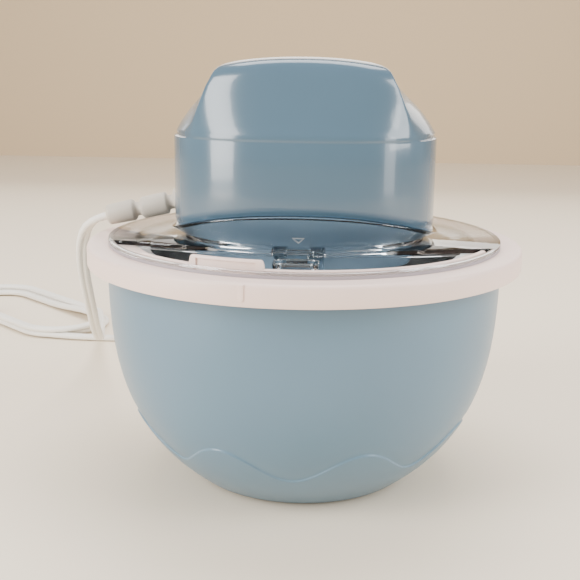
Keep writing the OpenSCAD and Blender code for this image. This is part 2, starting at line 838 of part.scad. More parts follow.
module motor_pinion() {
    color("#c9a75a")
    gear_wheel(place_motor, small_teeth, 120, gear_z + 2 * level_h, gear_t + 0.6, motor_shaft_r);
}

module motor_shaft() {
    color("#a9acaf")
    translate([place_motor[0], place_motor[1], gear_z + 2 * level_h - 0.6])
    cylinder(r = motor_shaft_r, h = can_z + can_h + 1.5 - gear_z - 2 * level_h, $fn = small_fn);
}

module motor_can() {
    color("#b4b7ba")
    translate([place_motor[0], place_motor[1], can_z])
    difference() {
        union() {
            cylinder(r = can_r, h = can_h, $fn = round_fn);
            translate([0, 0, -plate_t + 0.2])
            cylinder(r = 5.4, h = plate_t, $fn = small_fn);
            translate([-6, can_r - 7, can_h])
            cube([3, 1, 3]);
            translate([3, can_r - 7, can_h])
            cube([3, 1, 3]);
        }
        translate([0, 0, -3])
        cylinder(r = motor_shaft_r + run_gap, h = can_h + 8, $fn = small_fn);
    }
}

board_z = can_z + 5;

module control_board() {
    color("#5a7a56")
    translate([-36, -14, board_z])
    cube([26, 22, 1.6]);
    color("#5a7a56")
    for (p = [[-33, -8], [-13, 5]])
        translate([p[0], p[1], can_z])
        cylinder(r = 2, h = board_z - can_z, $fn = 24);
    color("#2f3133")
    translate([-29, -4, board_z + 1.6])
    cylinder(r = 4.5, h = 11, $fn = small_fn);
    color("#2f3133")
    for (i = [0:3])
        translate([-21 + 2.8 * (i % 4), -9, board_z + 1.6])
        cube([2, 5, 2]);
}

module inner_leads() {
    back_y = body_b - 17;
    color("#c2584e") {
        flat_tube([[-20, 4, board_z + 2.4], [-19, 8, board_z + 8], [-14, 16, board_z + 13],
            [-7, back_y - 6, switch_z - 3], [-5, back_y - 0.2, switch_z - 2]], 1.8, 1.8, 8);
        flat_tube([[-16, -2, board_z + 2.4], [-12, -3, board_z + 9], [-2, 4, board_z + 22],
            [8, 11, can_z + can_h + 6], [16.5, 8.6, can_z + can_h + 4.2]], 1.8, 1.8, 8);
    }
}

module switch_frame() {
    deep = 15;
    face_y = body_b + 0.6;
    color("#2c2f31")
    difference() {
        union() {
            translate([-switch_w / 2 + 0.1, face_y - deep, switch_z - switch_h / 2 + 0.1])
            cube([switch_w - 0.2, deep, switch_h - 0.2]);
            translate([-switch_w / 2 - 1.5, face_y - 0.4, switch_z - switch_h / 2 - 1.5])
            cube([switch_w + 3, 1.4, switch_h + 3]);
            for (x = [-6, 4])
                translate([x, face_y - deep - 2.4, switch_z - 3])
                cube([1, 2.5, 5]);
        }
        translate([-switch_w / 2 + 1.5, face_y - 8, switch_z - switch_h / 2 + 1.2])
        cube([switch_w - 3, 12, switch_h - 2.4]);
    }
}

rocker_y = body_b - 0.4;

module switch_rocker() {
    half = switch_h / 2 - 1.7;
    color("#1d1f21")
    translate([0, rocker_y, switch_z])
    rotate([rocker_tilt, 0, 0])
    rotate([90, 0, 90])
    linear_extrude(height = switch_w - 3.6, center = true)
    polygon([
        [-4, 1.2 - half], [-4, half - 1.2], [1.6, half], [2.2, half - 0.6],
        [1.3, 0], [2.2, 0.6 - half], [1.6, -half]
    ]);
}

module strain_relief() {
    length = norm(cord_start - relief_from);
    color("#cfccc6")
    along(relief_from, cord_start)
    rotate_extrude($fn = small_fn)
    polygon([
        [0, -3], [3.5, -3], [3.5, 0.6], [6, 1.6], [5.2, 4.6], [3.2, 5.6], [3.2, 7.6],
        [4.8, 8.4], [4.8, 19], [4.2, 20], [3.1, 20.6], [3.1, 22.2], [4.2, 22.8], [4.7, 23.8],
        [4.4, length - 1], [3.6, length], [0, length]
    ]);
}

module cord_clamp() {
    color("#8d9194")
    translate([-38, 18, can_z])
    cube([7, 5, 5]);
}

module cord() {
    color("#e9e7e2")
    flat_tube(cord_route, cord_w, cord_t, cord_sides);
}

module hank_outline(half) {
    hull()
    for (s = [-1, 1])
        translate([s * hank_run / 2, 0])
        circle(r = half, $fn = 48);
}

module cord_hank() {
    color("#e9e7e2")
    translate([hank_place[0], hank_place[1], hank_z])
    rotate([0, 0, hank_turn])
    linear_extrude(height = 2 * cord_t)
    difference() {
        hank_outline(hank_mid + cord_w);
        hank_outline(hank_mid - cord_w);
    }
}

module hank_tie() {
    tie_t = 0.6;
    tie_w = 5;
    half = cord_w + 0.1;
    high = 2 * cord_t + 0.1;
    color("#3a3c3e")
    translate([hank_place[0], hank_place[1], 0])
    rotate([0, 0, hank_turn])
    translate([20, hank_mid, hank_z - 0.05])
    difference() {
        translate([-tie_w / 2, -half - tie_t, -tie_t])
        cube([tie_w, 2 * (half + tie_t), high + 2 * tie_t]);
        translate([-tie_w, -half, 0])
        cube([2 * tie_w, 2 * half, high]);
    }
}

module cord_tail() {
    color("#e9e7e2")
    flat_tube(tail_route, cord_w, cord_t, cord_sides);
}

module plug_body() {
    color("#e4e2dd")
    translate(plug_place)
    rotate([0, 0, plug_turn])
    hull() {
        translate([0.2, -3.4, -2.4])
        cube([1, 6.8, 4.8]);
        translate([17, -12, -6.6])
        cube([1, 24, 13.2]);
        translate([33, -16, -6.8])
        cube([3, 32, 13.6]);
    }
}

module plug_pins() {
    color("#c9c6bd")
    translate(plug_place)
    rotate([0, 0, plug_turn])
    for (y = [-9.5, 9.5])
        translate([36, y, 0])
        rotate([0, 90, 0])
        cylinder(r = 2, h = 19, $fn = small_fn);
}

outer_bowl();
foot_pads();
bowl_collar();
freezer_shell();
freezer_liner();
coolant_gel();
bowl_gasket();
lid_seal();
lid();
release_tab();
paddle();
motor_base();
motor_housing();
housing_screws();
gear_plate();
gear_screws();
gear_axles();
output_gear();
drive_shaft();
shaft_bush();
shaft_seal();
idler_gear_low();
idler_gear_high();
motor_can();
motor_shaft();
motor_pinion();
control_board();
inner_leads();
switch_frame();
switch_rocker();
strain_relief();
cord_clamp();
cord();
cord_hank();
hank_tie();
cord_tail();
plug_body();
plug_pins();
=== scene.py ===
# %% [markdown]
# # Ice cream maker
# A motor unit stands on a clear lid, the lid lies on the white collar of a freezer bowl, and the freezer
# bowl hangs in a blue outer bowl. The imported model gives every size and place. This script gives each piece
# its finished shape and its finish. Pieces are worked out in millimetres, because moulded parts are drawn
# that way, and turned into metres when their mesh is made.

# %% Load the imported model
import math
import bmesh
import bpy
from mathutils import Matrix, Vector


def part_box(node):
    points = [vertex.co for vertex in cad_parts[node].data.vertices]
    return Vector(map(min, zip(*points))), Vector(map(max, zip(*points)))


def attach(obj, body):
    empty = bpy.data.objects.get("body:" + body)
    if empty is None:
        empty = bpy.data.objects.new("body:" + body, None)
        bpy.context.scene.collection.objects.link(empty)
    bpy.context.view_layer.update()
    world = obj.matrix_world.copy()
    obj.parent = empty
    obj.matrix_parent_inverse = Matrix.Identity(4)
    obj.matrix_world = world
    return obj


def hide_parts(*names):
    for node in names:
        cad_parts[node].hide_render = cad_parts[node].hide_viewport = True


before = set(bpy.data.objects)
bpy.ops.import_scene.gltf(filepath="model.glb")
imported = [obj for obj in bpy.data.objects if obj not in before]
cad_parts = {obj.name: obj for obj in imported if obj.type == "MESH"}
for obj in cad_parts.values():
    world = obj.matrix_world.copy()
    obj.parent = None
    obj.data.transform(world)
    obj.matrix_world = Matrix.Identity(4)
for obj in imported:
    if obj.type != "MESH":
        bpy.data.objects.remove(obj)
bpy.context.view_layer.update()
MM = 0.001

# %% [markdown]
# ## Camera
# The maker is seen from the front and a little above, from 40 cm away, as by someone who leans over the
# table. A camera could be aimed with a Track To constraint. Here its axes are worked out from heading,
# pitch and roll, because the small roll is then a number of its own.

# %% Camera
CAMERA_PLACE = Vector((0.0207, -0.3957, 0.1703))
HEADING, PITCH, ROLL = math.radians(3.81), math.radians(13.18), 0.011427


def camera_axes(heading, pitch, roll):
    level = math.cos(pitch)
    ahead = Vector((-math.sin(heading) * level, math.cos(heading) * level, -math.sin(pitch)))
    right = Vector((math.cos(heading), math.sin(heading), 0))
    up = right.cross(ahead)
    turned_right = right * math.cos(roll) + up * math.sin(roll)
    turned_up = up * math.cos(roll) - right * math.sin(roll)
    return Matrix((turned_right, turned_up, -ahead)).transposed().to_4x4()


camera_data = bpy.data.cameras.new("camera")
camera_data.lens = 58.97
camera_data.sensor_fit = "HORIZONTAL"
camera = bpy.data.objects.new("camera", camera_data)
camera.matrix_world = Matrix.Translation(CAMERA_PLACE) @ camera_axes(HEADING, PITCH, ROLL)
bpy.context.scene.collection.objects.link(camera)
bpy.context.scene.camera = camera
print("camera at", list(CAMERA_PLACE))

# %% [markdown]
# ## Making a mesh
# Almost every piece here is a skin over rings of points: rings stacked and closed by caps for a solid such
# as the housing, or sections joined all the way round for a ring such as the collar. One helper turns
# points and faces into an object. It merges doubles, turns the faces outwards, and keeps only real edges
# crisp.

# %% Mesh helpers
def link(name, mesh):
    obj = bpy.data.objects.new(name, mesh)
    bpy.context.scene.collection.objects.link(obj)
    return obj


def finish_mesh(mesh, sharp):
    build = bmesh.new()
    build.from_mesh(mesh)
    bmesh.ops.remove_doubles(build, verts=build.verts, dist=2e-6)
    bmesh.ops.dissolve_degenerate(build, edges=build.edges, dist=1e-7)
    bmesh.ops.recalc_face_normals(build, faces=build.faces)
    build.to_mesh(mesh)
    build.free()
    mesh.shade_smooth()
    mesh.set_sharp_from_angle(angle=math.radians(sharp))


def make_piece(name, points, faces, sharp=40):
    mesh = bpy.data.meshes.new(name)
    mesh.from_pydata([(x * MM, y * MM, z * MM) for x, y, z in points], [], faces)
    finish_mesh(mesh, sharp)
    print(f"{name}: {len(mesh.polygons)} faces")
    return link(name, mesh)


def stack(rings):
    """Rings with equal numbers of points, joined in a row and closed by a cap at each end."""
    count = len(rings[0])
    faces = [tuple(range(count))[::-1]]
    for k in range(len(rings) - 1):
        low, high = k * count, (k + 1) * count
        for i in range(count):
            j = (i + 1) % count
            faces.append((low + i, low + j, high + j, high + i))
    last = (len(rings) - 1) * count
    faces.append(tuple(last + i for i in range(count)))
    return [p for ring in rings for p in ring], faces


def hoop(sections):
    """Closed sections joined in a loop, as on a ring."""
    count, many = len(sections[0]), len(sections)
    faces = []
    for i in range(many):
        low, high = i * count, ((i + 1) % many) * count
        for k in range(count):
            m = (k + 1) % count
            faces.append((low + k, low + m, high + m, high + k))
    return [p for section in sections for p in section], faces


def around(profile, angle):
    """A profile of (radius, height) points, stood up at an angle in degrees from +X."""
    c, s = math.cos(math.radians(angle)), math.sin(math.radians(angle))
    return [(r * c, r * s, z) for r, z in profile]


def smooth(u):
    v = min(max(u, 0.0), 1.0)
    return v * v * (3 - 2 * v)


def through(points, step):
    """Points about a step apart on a smooth curve through the given ones."""
    line = []
    for i in range(len(points) - 1):
        p0, p1 = Vector(points[max(i - 1, 0)]), Vector(points[i])
        p2, p3 = Vector(points[i + 1]), Vector(points[min(i + 2, len(points) - 1)])
        pieces = max(1, round((p2 - p1).length / step))
        for k in range(pieces):
            t = k / pieces
            line.append(0.5 * (2 * p1 + (p2 - p0) * t + (2 * p0 - 5 * p1 + 4 * p2 - p3) * t * t
                               + (3 * p1 - p0 - 3 * p2 + p3) * t * t * t))
    line.append(Vector(points[-1]))
    return line


# %% [markdown]
# ## Mains cord
# The cord is a flat twin lead, 5.6 mm wide and 3.2 mm thick, with two round cores side by side. It leaves
# the strain relief on the left, drops in a curve behind the bowl, and most of it is folded into a tied hank
# on the table. A curve with a bevel would give a round cord. A mesh swept along the route with a section of
# two lobes gives the groove that a twin lead has.

# %% Cord route
CORD_WIDTH, CORD_THICK = 0.0056, 0.0032
RUN = [(-0.0867, 0.0105, 0.1065), (-0.091, 0.0104, 0.105), (-0.096, 0.012, 0.1015), (-0.1, 0.017, 0.0945),
       (-0.103, 0.025, 0.085), (-0.1055, 0.036, 0.073), (-0.108, 0.05, 0.06), (-0.111, 0.066, 0.047),
       (-0.115, 0.084, 0.0355), (-0.119, 0.103, 0.0255), (-0.124, 0.123, 0.0175), (-0.129, 0.143, 0.012),
       (-0.134, 0.162, 0.009), (-0.1385, 0.18, 0.0076), (-0.143, 0.198, 0.0068), (-0.148, 0.213, 0.0062)]
TAIL = [(-0.158, 0.1768, 0.0021), (-0.145, 0.1762, 0.0019), (-0.132, 0.1766, 0.0017),
        (-0.118, 0.1772, 0.0017), (-0.104, 0.177, 0.0018), (-0.092, 0.176, 0.0026),
        (-0.081, 0.1744, 0.0046), (-0.071, 0.1726, 0.0068), (-0.063, 0.171, 0.0073)]
HANK_PLACE, HANK_TURN, HANK_RUN = Vector((-0.2037, 0.236, 0)), math.radians(138), 0.088
# Radius of the hank's outer and inner turns, and height of its upper and lower layer
OUTER, INNER = 0.0279, 0.0223
UPPER, LOWER = 0.0055, 0.0023
# The tail leaves the last turn in its fourth stretch, a fold, at this angle
TAIL_ANGLE = 132
LEAVES = 3 + (TAIL_ANGLE - 90) / 180
STRETCH_STEPS, ROUTE_STEP = 20, 0.004


def hank_point(turn, radius, height):
    """A point of the hank: whole numbers of turn count its four stretches, two runs and two folds."""
    stretch, part = int(turn) % 4, turn % 1
    half = HANK_RUN / 2
    if stretch == 0:
        local = Vector((-half + HANK_RUN * part, -radius, 0))
    elif stretch == 2:
        local = Vector((half - HANK_RUN * part, radius, 0))
    else:
        angle = math.radians(180 * part + (-90 if stretch == 1 else 90))
        middle = half if stretch == 1 else -half
        local = Vector((middle + radius * math.cos(angle), radius * math.sin(angle), 0))
    local.rotate(Matrix.Rotation(HANK_TURN, 3, "Z"))
    return HANK_PLACE + local + Vector((0, 0, height))


def hank_line():
    """Three turns: on top outside, then inside on the table, then outside on the table under the first."""
    line = []
    steps = int((8 + LEAVES) * STRETCH_STEPS)
    for i in range(1, steps + 1):
        turn = i * (8 + LEAVES) / steps
        if turn < 4:
            crossing = smooth((turn - LEAVES) / (4 - LEAVES))
            radius, height = OUTER + (INNER - OUTER) * crossing, UPPER
        elif turn < 8:
            crossing = smooth((turn - 4 - LEAVES) / (4 - LEAVES))
            radius = INNER + (OUTER - INNER) * crossing
            height = UPPER + (LOWER - UPPER) * smooth((turn - 4) / 0.6)
        else:
            radius, height = OUTER, LOWER
        line.append(hank_point(turn, radius, height))
    return line


cord_line = through(RUN + [hank_point(0, OUTER, UPPER)], ROUTE_STEP)
cord_line += hank_line()
cord_line += through([cord_line[-1]] + TAIL, ROUTE_STEP)[1:]


# %% Cord mesh
def twin_section(lobe=14):
    """Two lobes side by side, as across and up from the middle of the cord."""
    radius = CORD_THICK / 2
    shift = CORD_WIDTH / 2 - radius
    meet = math.acos(shift / radius)
    section = []
    for side in (1, -1):
        for i in range(lobe):
            angle = -(math.pi - meet) + 2 * (math.pi - meet) * i / (lobe - 1)
            section.append((side * (shift + radius * math.cos(angle)), side * radius * math.sin(angle)))
    return section


def sweep(line, section):
    rings = []
    for i, p in enumerate(line):
        ahead = (line[min(i + 1, len(line) - 1)] - line[max(i - 1, 0)]).normalized()
        across = ahead.cross(Vector((0, 0, 1))).normalized()
        up = across.cross(ahead)
        rings.append([tuple((p + across * a + up * b) / MM) for a, b in section])
    return stack(rings)


cord_run = make_piece("cord_run", *sweep(cord_line, twin_section()), sharp=50)
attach(cord_run, "motor_unit")
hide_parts("cord", "cord_hank", "cord_tail")

# %% [markdown]
# ## Finishes
# A moulded surface is never one flat colour. Its pigment is a little uneven, its gloss changes slowly
# across the piece, and its skin has a fine grain from the mould. One helper builds that from three noises
# on object coordinates, so the grain stays the same size on every piece. Metals get noise stretched along
# the tool's path.

# %% Moulded finish
def shade(colour, factor):
    return tuple(min(1.0, c * factor) for c in colour[:3]) + (1.0,)


def noise(tree, vector, scale, detail=3.0):
    node = tree.nodes.new("ShaderNodeTexNoise")
    node.inputs["Scale"].default_value = scale
    node.inputs["Detail"].default_value = detail
    tree.links.new(vector, node.inputs["Vector"])
    return node.outputs["Fac"]


def spread(tree, value, low, high):
    node = tree.nodes.new("ShaderNodeMapRange")
    node.inputs["From Min"].default_value = 0.3
    node.inputs["From Max"].default_value = 0.7
    node.inputs["To Min"].default_value = low
    node.inputs["To Max"].default_value = high
    tree.links.new(value, node.inputs["Value"])
    return node.outputs["Result"]


def blend_colours(tree, value, first, second):
    node = tree.nodes.new("ShaderNodeMix")
    node.data_type = "RGBA"
    node.inputs[6].default_value = first
    node.inputs[7].default_value = second
    tree.links.new(value, node.inputs[0])
    return node.outputs[2]


def bump(tree, height, depth, shader, strength=1.0):
    node = tree.nodes.new("ShaderNodeBump")
    node.inputs["Strength"].default_value = strength
    node.inputs["Distance"].default_value = depth
    tree.links.new(height, node.inputs["Height"])
    tree.links.new(node.outputs["Normal"], shader.inputs["Normal"])


def start_finish(name):
    material = bpy.data.materials.new(name)
    material.use_nodes = True
    tree = material.node_tree
    place = tree.nodes.new("ShaderNodeTexCoord").outputs["Object"]
    return material, tree, tree.nodes["Principled BSDF"], place


def moulded(name, colour, gloss, grain=1800, depth=0.000012, mottle=0.03, gloss_change=0.05, **sockets):
    """Moulded plastic or rubber: gloss is its roughness, grain its bumps per metre."""
    material, tree, shader, place = start_finish(name)
    uneven = spread(tree, noise(tree, place, 28), 0, 1)
    tint = blend_colours(tree, uneven, shade(colour, 1 - mottle), shade(colour, 1 + mottle))
    tree.links.new(tint, shader.inputs["Base Color"])
    worn = spread(tree, noise(tree, place, 55, 6), max(0.02, gloss - gloss_change), gloss + gloss_change)
    tree.links.new(worn, shader.inputs["Roughness"])
    bump(tree, noise(tree, place, grain, 2), depth, shader, 0.6)
    for socket, value in sockets.items():
        shader.inputs[socket.replace("_", " ")].default_value = value
    return material


# %% Metal finish
def turned_metal(name, colour, gloss, rings=1400, depth=0.00001):
    """Metal turned or spun about the upright axis: fine rings in its gloss and bump."""
    material, tree, shader, place = start_finish(name)
    split = tree.nodes.new("ShaderNodeSeparateXYZ")
    tree.links.new(place, split.inputs["Vector"])
    flat = tree.nodes.new("ShaderNodeCombineXYZ")
    tree.links.new(split.outputs["X"], flat.inputs["X"])
    tree.links.new(split.outputs["Y"], flat.inputs["Y"])
    away = tree.nodes.new("ShaderNodeVectorMath")
    away.operation = "LENGTH"
    tree.links.new(flat.outputs["Vector"], away.inputs[0])
    rings_at = tree.nodes.new("ShaderNodeCombineXYZ")
    tree.links.new(away.outputs["Value"], rings_at.inputs["X"])
    tree.links.new(split.outputs["Z"], rings_at.inputs["Y"])
    lines = noise(tree, rings_at.outputs["Vector"], rings, 4)
    tint = blend_colours(tree, noise(tree, place, 30), shade(colour, 0.94), shade(colour, 1.05))
    tree.links.new(tint, shader.inputs["Base Color"])
    tree.links.new(spread(tree, lines, gloss - 0.08, gloss + 0.1), shader.inputs["Roughness"])
    shader.inputs["Metallic"].default_value = 1.0
    bump(tree, lines, depth, shader, 0.5)
    return material


# %% Clear finish
def clear(name, colour, gloss, density):
    """Clear moulded plastic, with the faint waves that a mould leaves."""
    material, tree, shader, place = start_finish(name)
    worn = spread(tree, noise(tree, place, 60), gloss * 0.5, gloss * 1.6)
    tree.links.new(worn, shader.inputs["Roughness"])
    tint = blend_colours(tree, noise(tree, place, 20), shade(colour, 0.985), shade(colour, 1.0))
    tree.links.new(tint, shader.inputs["Base Color"])
    shader.inputs["Transmission Weight"].default_value = 1.0
    shader.inputs["IOR"].default_value = 1.49
    shader.inputs["Alpha"].default_value = density
    bump(tree, noise(tree, place, 90), 0.00006, shader, 0.4)
    return material


# %% The object's finishes
SHELL_BLUE = moulded("shell_blue", (0.10, 0.182, 0.255), 0.34, grain=1500, depth=0.000004, mottle=0.025,
                     gloss_change=0.02, Coat_Weight=0.15, Coat_Roughness=0.2)
HOUSING_BLUE = moulded("housing_blue", (0.062, 0.115, 0.165), 0.2, grain=900, depth=0.000004, mottle=0.02,
                       gloss_change=0.015, Coat_Weight=0.5, Coat_Roughness=0.06)
# Painted light: the base's blue is made far lighter than the housing's blue to make up for the shade that the
# clear lid throws on the base.
BASE_BLUE_PAINTED_LIGHT = moulded("base_blue_painted_light", (0.29, 0.43, 0.57), 0.22, grain=1200, mottle=0.03)
COLLAR_WHITE = moulded("collar_white", (0.80, 0.62, 0.555), 0.42, grain=1400, mottle=0.015)
INNER_WHITE = moulded("inner_white", (0.78, 0.765, 0.74), 0.4)
CORD_WHITE = moulded("cord_white", (0.80, 0.765, 0.70), 0.45, grain=1100, depth=0.00002, mottle=0.03)
RELIEF_GREY = moulded("relief_grey", (0.52, 0.47, 0.40), 0.5, grain=1200, depth=0.00002, mottle=0.05)
RUBBER = moulded("dark_rubber", (0.045, 0.047, 0.05), 0.7, grain=1500, depth=0.00003, mottle=0.15)
# The seal's dark grey is partly its own colour and partly painted shade: the shade of the gap under the lid's
# rim.
SEAL_GREY_AND_GAP_SHADE = moulded("seal_grey_and_gap_shade", (0.33, 0.29, 0.31), 0.45, mottle=0.05)
PADDLE_WHITE = moulded("paddle_white", (0.80, 0.79, 0.76), 0.3)
SWITCH_BLACK = moulded("switch_black", (0.018, 0.018, 0.02), 0.35, grain=1600, depth=0.00002, mottle=0.1)
GEAR_NYLON = moulded("gear_nylon", (0.74, 0.68, 0.55), 0.4)
GEL_BLUE = moulded("gel_blue", (0.42, 0.58, 0.70), 0.5, mottle=0.1)
LEAD_RED = moulded("lead_red", (0.42, 0.05, 0.035), 0.4)
BOARD_GREEN = moulded("board_green", (0.05, 0.14, 0.06), 0.35, mottle=0.2)
LINER_METAL = turned_metal("liner_metal", (0.60, 0.61, 0.62), 0.34, rings=900)
STEEL = turned_metal("turned_steel", (0.55, 0.56, 0.57), 0.28)
BRASS = turned_metal("turned_brass", (0.65, 0.48, 0.22), 0.3)
CLEAR_LID = clear("clear_lid", (0.93, 0.965, 0.985), 0.03, 1.0)
CLEAR_TAB = clear("clear_tab", (0.90, 0.95, 0.97), 0.06, 1.0)
print("finishes:", len(bpy.data.materials))


def give(obj, material, body=None, nodes=()):
    """Gives a finished piece its material, its body and the CAD nodes that it stands for."""
    obj.data.materials.clear()
    obj.data.materials.append(material)
    if body:
        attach(obj, body)
    if nodes:
        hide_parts(*nodes)


give(cord_run, CORD_WHITE)

# %% [markdown]
# ## Outer bowl
# The outer bowl is one blue moulding whose side rises from a small foot and turns almost upright. Low on it
# runs a relief of eight scallops: the skin below the wavy line stands half a millimetre proud. It could be
# a texture, but the step catches light along its edge, so it is real here. The rings of the mesh follow the
# wave, and the step therefore stays crisp.

# %% Outer bowl
BOWL_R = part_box("outer_bowl")[1][0] / MM
BOWL_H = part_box("outer_bowl")[1][2] / MM
FOOT_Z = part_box("outer_bowl")[0][2] / MM
FOOT_R, BOWL_CURVE, BOWL_WALL = 45.2, 3.85, 2.4
# The side's curve would stand upright this far above the rim
UPRIGHT_ABOVE = 11.2
SCALLOPS, WAVE_Z, WAVE, STEP = 8, 24.7, 6.2, 0.55
BOWL_COLUMNS = 320


def bowl_radius(z):
    return FOOT_R + (BOWL_R - FOOT_R) * (1 - (1 - z / (BOWL_H + UPRIGHT_ABOVE)) ** BOWL_CURVE)


def bowl_section(angle):
    """Section from the foot's middle up the outside, over the rim and down inside."""
    wave = -WAVE * math.cos(math.radians(SCALLOPS * (angle + 90)))
    section = [(r, FOOT_Z) for r in (FOOT_R * 0.45, FOOT_R * 0.8, FOOT_R - 1.2, FOOT_R - 0.3)]
    heights = [FOOT_Z + 0.5, 2.5, 5, 8, 11, 14, 17, 19.5, 21.5, 23, 23.8, 24.2, 24.5, 24.7, 24.85, 25, 25.2,
               25.6, 26.4, 28, 30.5, 33.5, 37, 41, 46, 52, 58, 64, 70, 76, 82, 88, 93, BOWL_H - 0.8]
    for z0 in heights:
        z = z0 + wave * math.exp(-((z0 - WAVE_Z) / 13) ** 2) * smooth(z0 / 10)
        proud = STEP * smooth((25.1 - z0) / 0.9) * smooth(z0 / 14)
        dip = 0.22 * math.exp(-((z0 - 26.2) / 1.6) ** 2)
        section.append((bowl_radius(z) + proud - dip, z))
    section += [(BOWL_R - 0.25, BOWL_H - 0.2), (BOWL_R - 0.9, BOWL_H)]
    section += [(BOWL_R - BOWL_WALL + 0.8, BOWL_H), (BOWL_R - BOWL_WALL, BOWL_H - 0.8)]
    for i in range(12, 0, -1):
        z = FOOT_Z + BOWL_WALL + (BOWL_H - FOOT_Z - 3.4) * (i / 13) ** 2
        section.append((bowl_radius(z) - BOWL_WALL, z))
    section += [(r, FOOT_Z + BOWL_WALL) for r in (FOOT_R - 4, FOOT_R * 0.45)]
    return around(section, angle)


def closed_bowl(name, columns):
    """The sections in a loop, with the small holes in the floor closed by two flat discs."""
    points, faces = hoop(columns)
    count = len(columns[0])
    faces = [f for f in faces if not {f[0] % count, f[1] % count} == {0, count - 1}]
    faces.append(tuple(i * count for i in range(len(columns)))[::-1])
    faces.append(tuple(i * count + count - 1 for i in range(len(columns))))
    return make_piece(name, points, faces, sharp=50)


bowl_columns = [bowl_section(i * 360 / BOWL_COLUMNS) for i in range(BOWL_COLUMNS)]
outer_skin = closed_bowl("outer_bowl_skin", bowl_columns)
give(outer_skin, SHELL_BLUE, "outer_bowl", ["outer_bowl"])

# %% [markdown]
# ## Collar of the freezer bowl
# The white collar closes the gap between the bowls. Its upstand runs along a part of it and rises to a lug
# that a thumb lifts it by. All three are one moulding, so the collar is one ring of sections whose upstand
# has a height that depends on the angle. Extra sections stand at the lug's ends, where that height jumps.

# %% Collar
RING_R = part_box("bowl_collar")[1][0] / MM
LUG_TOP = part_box("bowl_collar")[1][2] / MM
LUG_H, UPSTAND_H, RING_H = 5.8, 2.7, 8.3
RING_Z = LUG_TOP - LUG_H
UPSTAND_R, UPSTAND_T = 76.8, 2.0
UPSTAND_ENDS, LUG_ENDS, PANEL_ENDS = (-48, 66), (-28, -7), (-25.9, -9.1)
MOUTH_R, RIB_IN, RIB_OUT, RIB_DEEP = 70, 77.1, 79.1, 4
TICK_ANGLE = -10.4


def bulge(distance, reach):
    """0 to 1 over a quarter circle, as at a rounded corner."""
    v = min(max(distance / reach, 0.0), 1.0)
    return math.sqrt(1 - (1 - v) ** 2)


def upstand_height(angle):
    """Height of the upstand at an angle from the front, towards the right."""
    arc = math.radians(1) * UPSTAND_R
    low = bulge(min(angle - UPSTAND_ENDS[0], UPSTAND_ENDS[1] - angle) * arc, 1.2)
    lug = bulge(min(angle - LUG_ENDS[0], LUG_ENDS[1] - angle) * arc, 1.1)
    return UPSTAND_H * low + (LUG_H - UPSTAND_H) * lug


def collar_section(angle):
    h = upstand_height(angle)
    panel = PANEL_ENDS[0] < angle < PANEL_ENDS[1]
    inner, outer = UPSTAND_R, UPSTAND_R + UPSTAND_T
    skirt, seat = RING_Z - RING_H, RING_Z - UPSTAND_T
    fillet = min(0.35, h * 0.3)
    edge = min(0.5, h * 0.3)
    top = RING_Z + h
    section = [(MOUTH_R, seat), (MOUTH_R, RING_Z - 0.5)]
    section += [(MOUTH_R + 0.15, RING_Z - 0.15), (MOUTH_R + 0.5, RING_Z)]
    section += [(inner - 0.35, RING_Z), (inner - 0.1, RING_Z + fillet * 0.4), (inner, RING_Z + fillet)]
    section += [(inner, top - edge), (inner + 0.15, top - edge * 0.3), (inner + 0.5, top)]
    section += [(outer - 0.5, top), (outer - 0.15, top - edge * 0.3), (outer, top - edge)]
    for part, deep in ((0.84, 0), (0.8, 1), (0.2, 1), (0.16, 0)):
        section.append((outer - 0.75 * deep * panel, RING_Z + max(h * part, fillet)))
    section += [(outer, RING_Z + fillet), (outer + 0.12, RING_Z + fillet * 0.4), (outer + 0.4, RING_Z)]
    section += [(RING_R - 3.2, RING_Z), (RING_R - 1.3, RING_Z - 0.06), (RING_R - 0.6, RING_Z - 0.3)]
    section += [(RING_R - 0.2, RING_Z - 0.8), (RING_R, RING_Z - 1.5), (RING_R, skirt + 0.5)]
    section += [(RING_R - 0.15, skirt + 0.15), (RING_R - 0.5, skirt), (RING_R - 1.6, skirt)]
    section += [(RING_R - 1.9, skirt + 0.3), (RING_R - 2, seat), (RIB_OUT, seat)]
    section += [(RIB_OUT, seat - RIB_DEEP), (RIB_IN, seat - RIB_DEEP), (RIB_IN, seat)]
    return around(section, angle - 90)


def collar_angles():
    angles = {i * 1.25 for i in range(-144, 144)}
    for end in UPSTAND_ENDS + LUG_ENDS:
        angles |= {end + way * d for way in (-1, 1) for d in (0.01, 0.08, 0.2, 0.4, 0.6, 0.8)}
    for end in PANEL_ENDS:
        angles |= {end - 0.04, end + 0.04}
    return sorted(angles)


def tick_mark(angle, width=1.9, top=0.5, length=5.9):
    """Rounded rib on the collar's wall, which the lid's mark is turned to."""
    c, s = math.cos(math.radians(angle)), math.sin(math.radians(angle))
    rings = []
    for proud, inset in ((-0.8, 0), (0.25, 0), (0.45, 0.12), (0.5, 0.35)):
        half = width / 2 - inset
        outline = [(-half, RING_Z - top - inset), (half, RING_Z - top - inset)]
        bottom = RING_Z - top - length + width / 2
        outline += [(half * math.cos(math.radians(a)), bottom + half * math.sin(math.radians(a)))
                    for a in range(0, -181, -20)]
        ring = []
        for x, z in outline:
            y = -math.sqrt((RING_R + proud) ** 2 - x * x)
            ring.append((x * c - y * s, x * s + y * c, z))
        rings.append(ring)
    return rings


def combine(name, parts, sharp=40):
    """One piece from several closed skins, each given as points and faces."""
    points, faces = [], []
    for part_points, part_faces in parts:
        start = len(points)
        points += part_points
        faces += [tuple(start + i for i in face) for face in part_faces]
    return make_piece(name, points, faces, sharp)


collar_skin = hoop([collar_section(a) for a in collar_angles()])
collar = combine("freezer_collar", [collar_skin, stack(tick_mark(TICK_ANGLE))], 35)
give(collar, COLLAR_WHITE, "freezer_bowl", ["bowl_collar"])

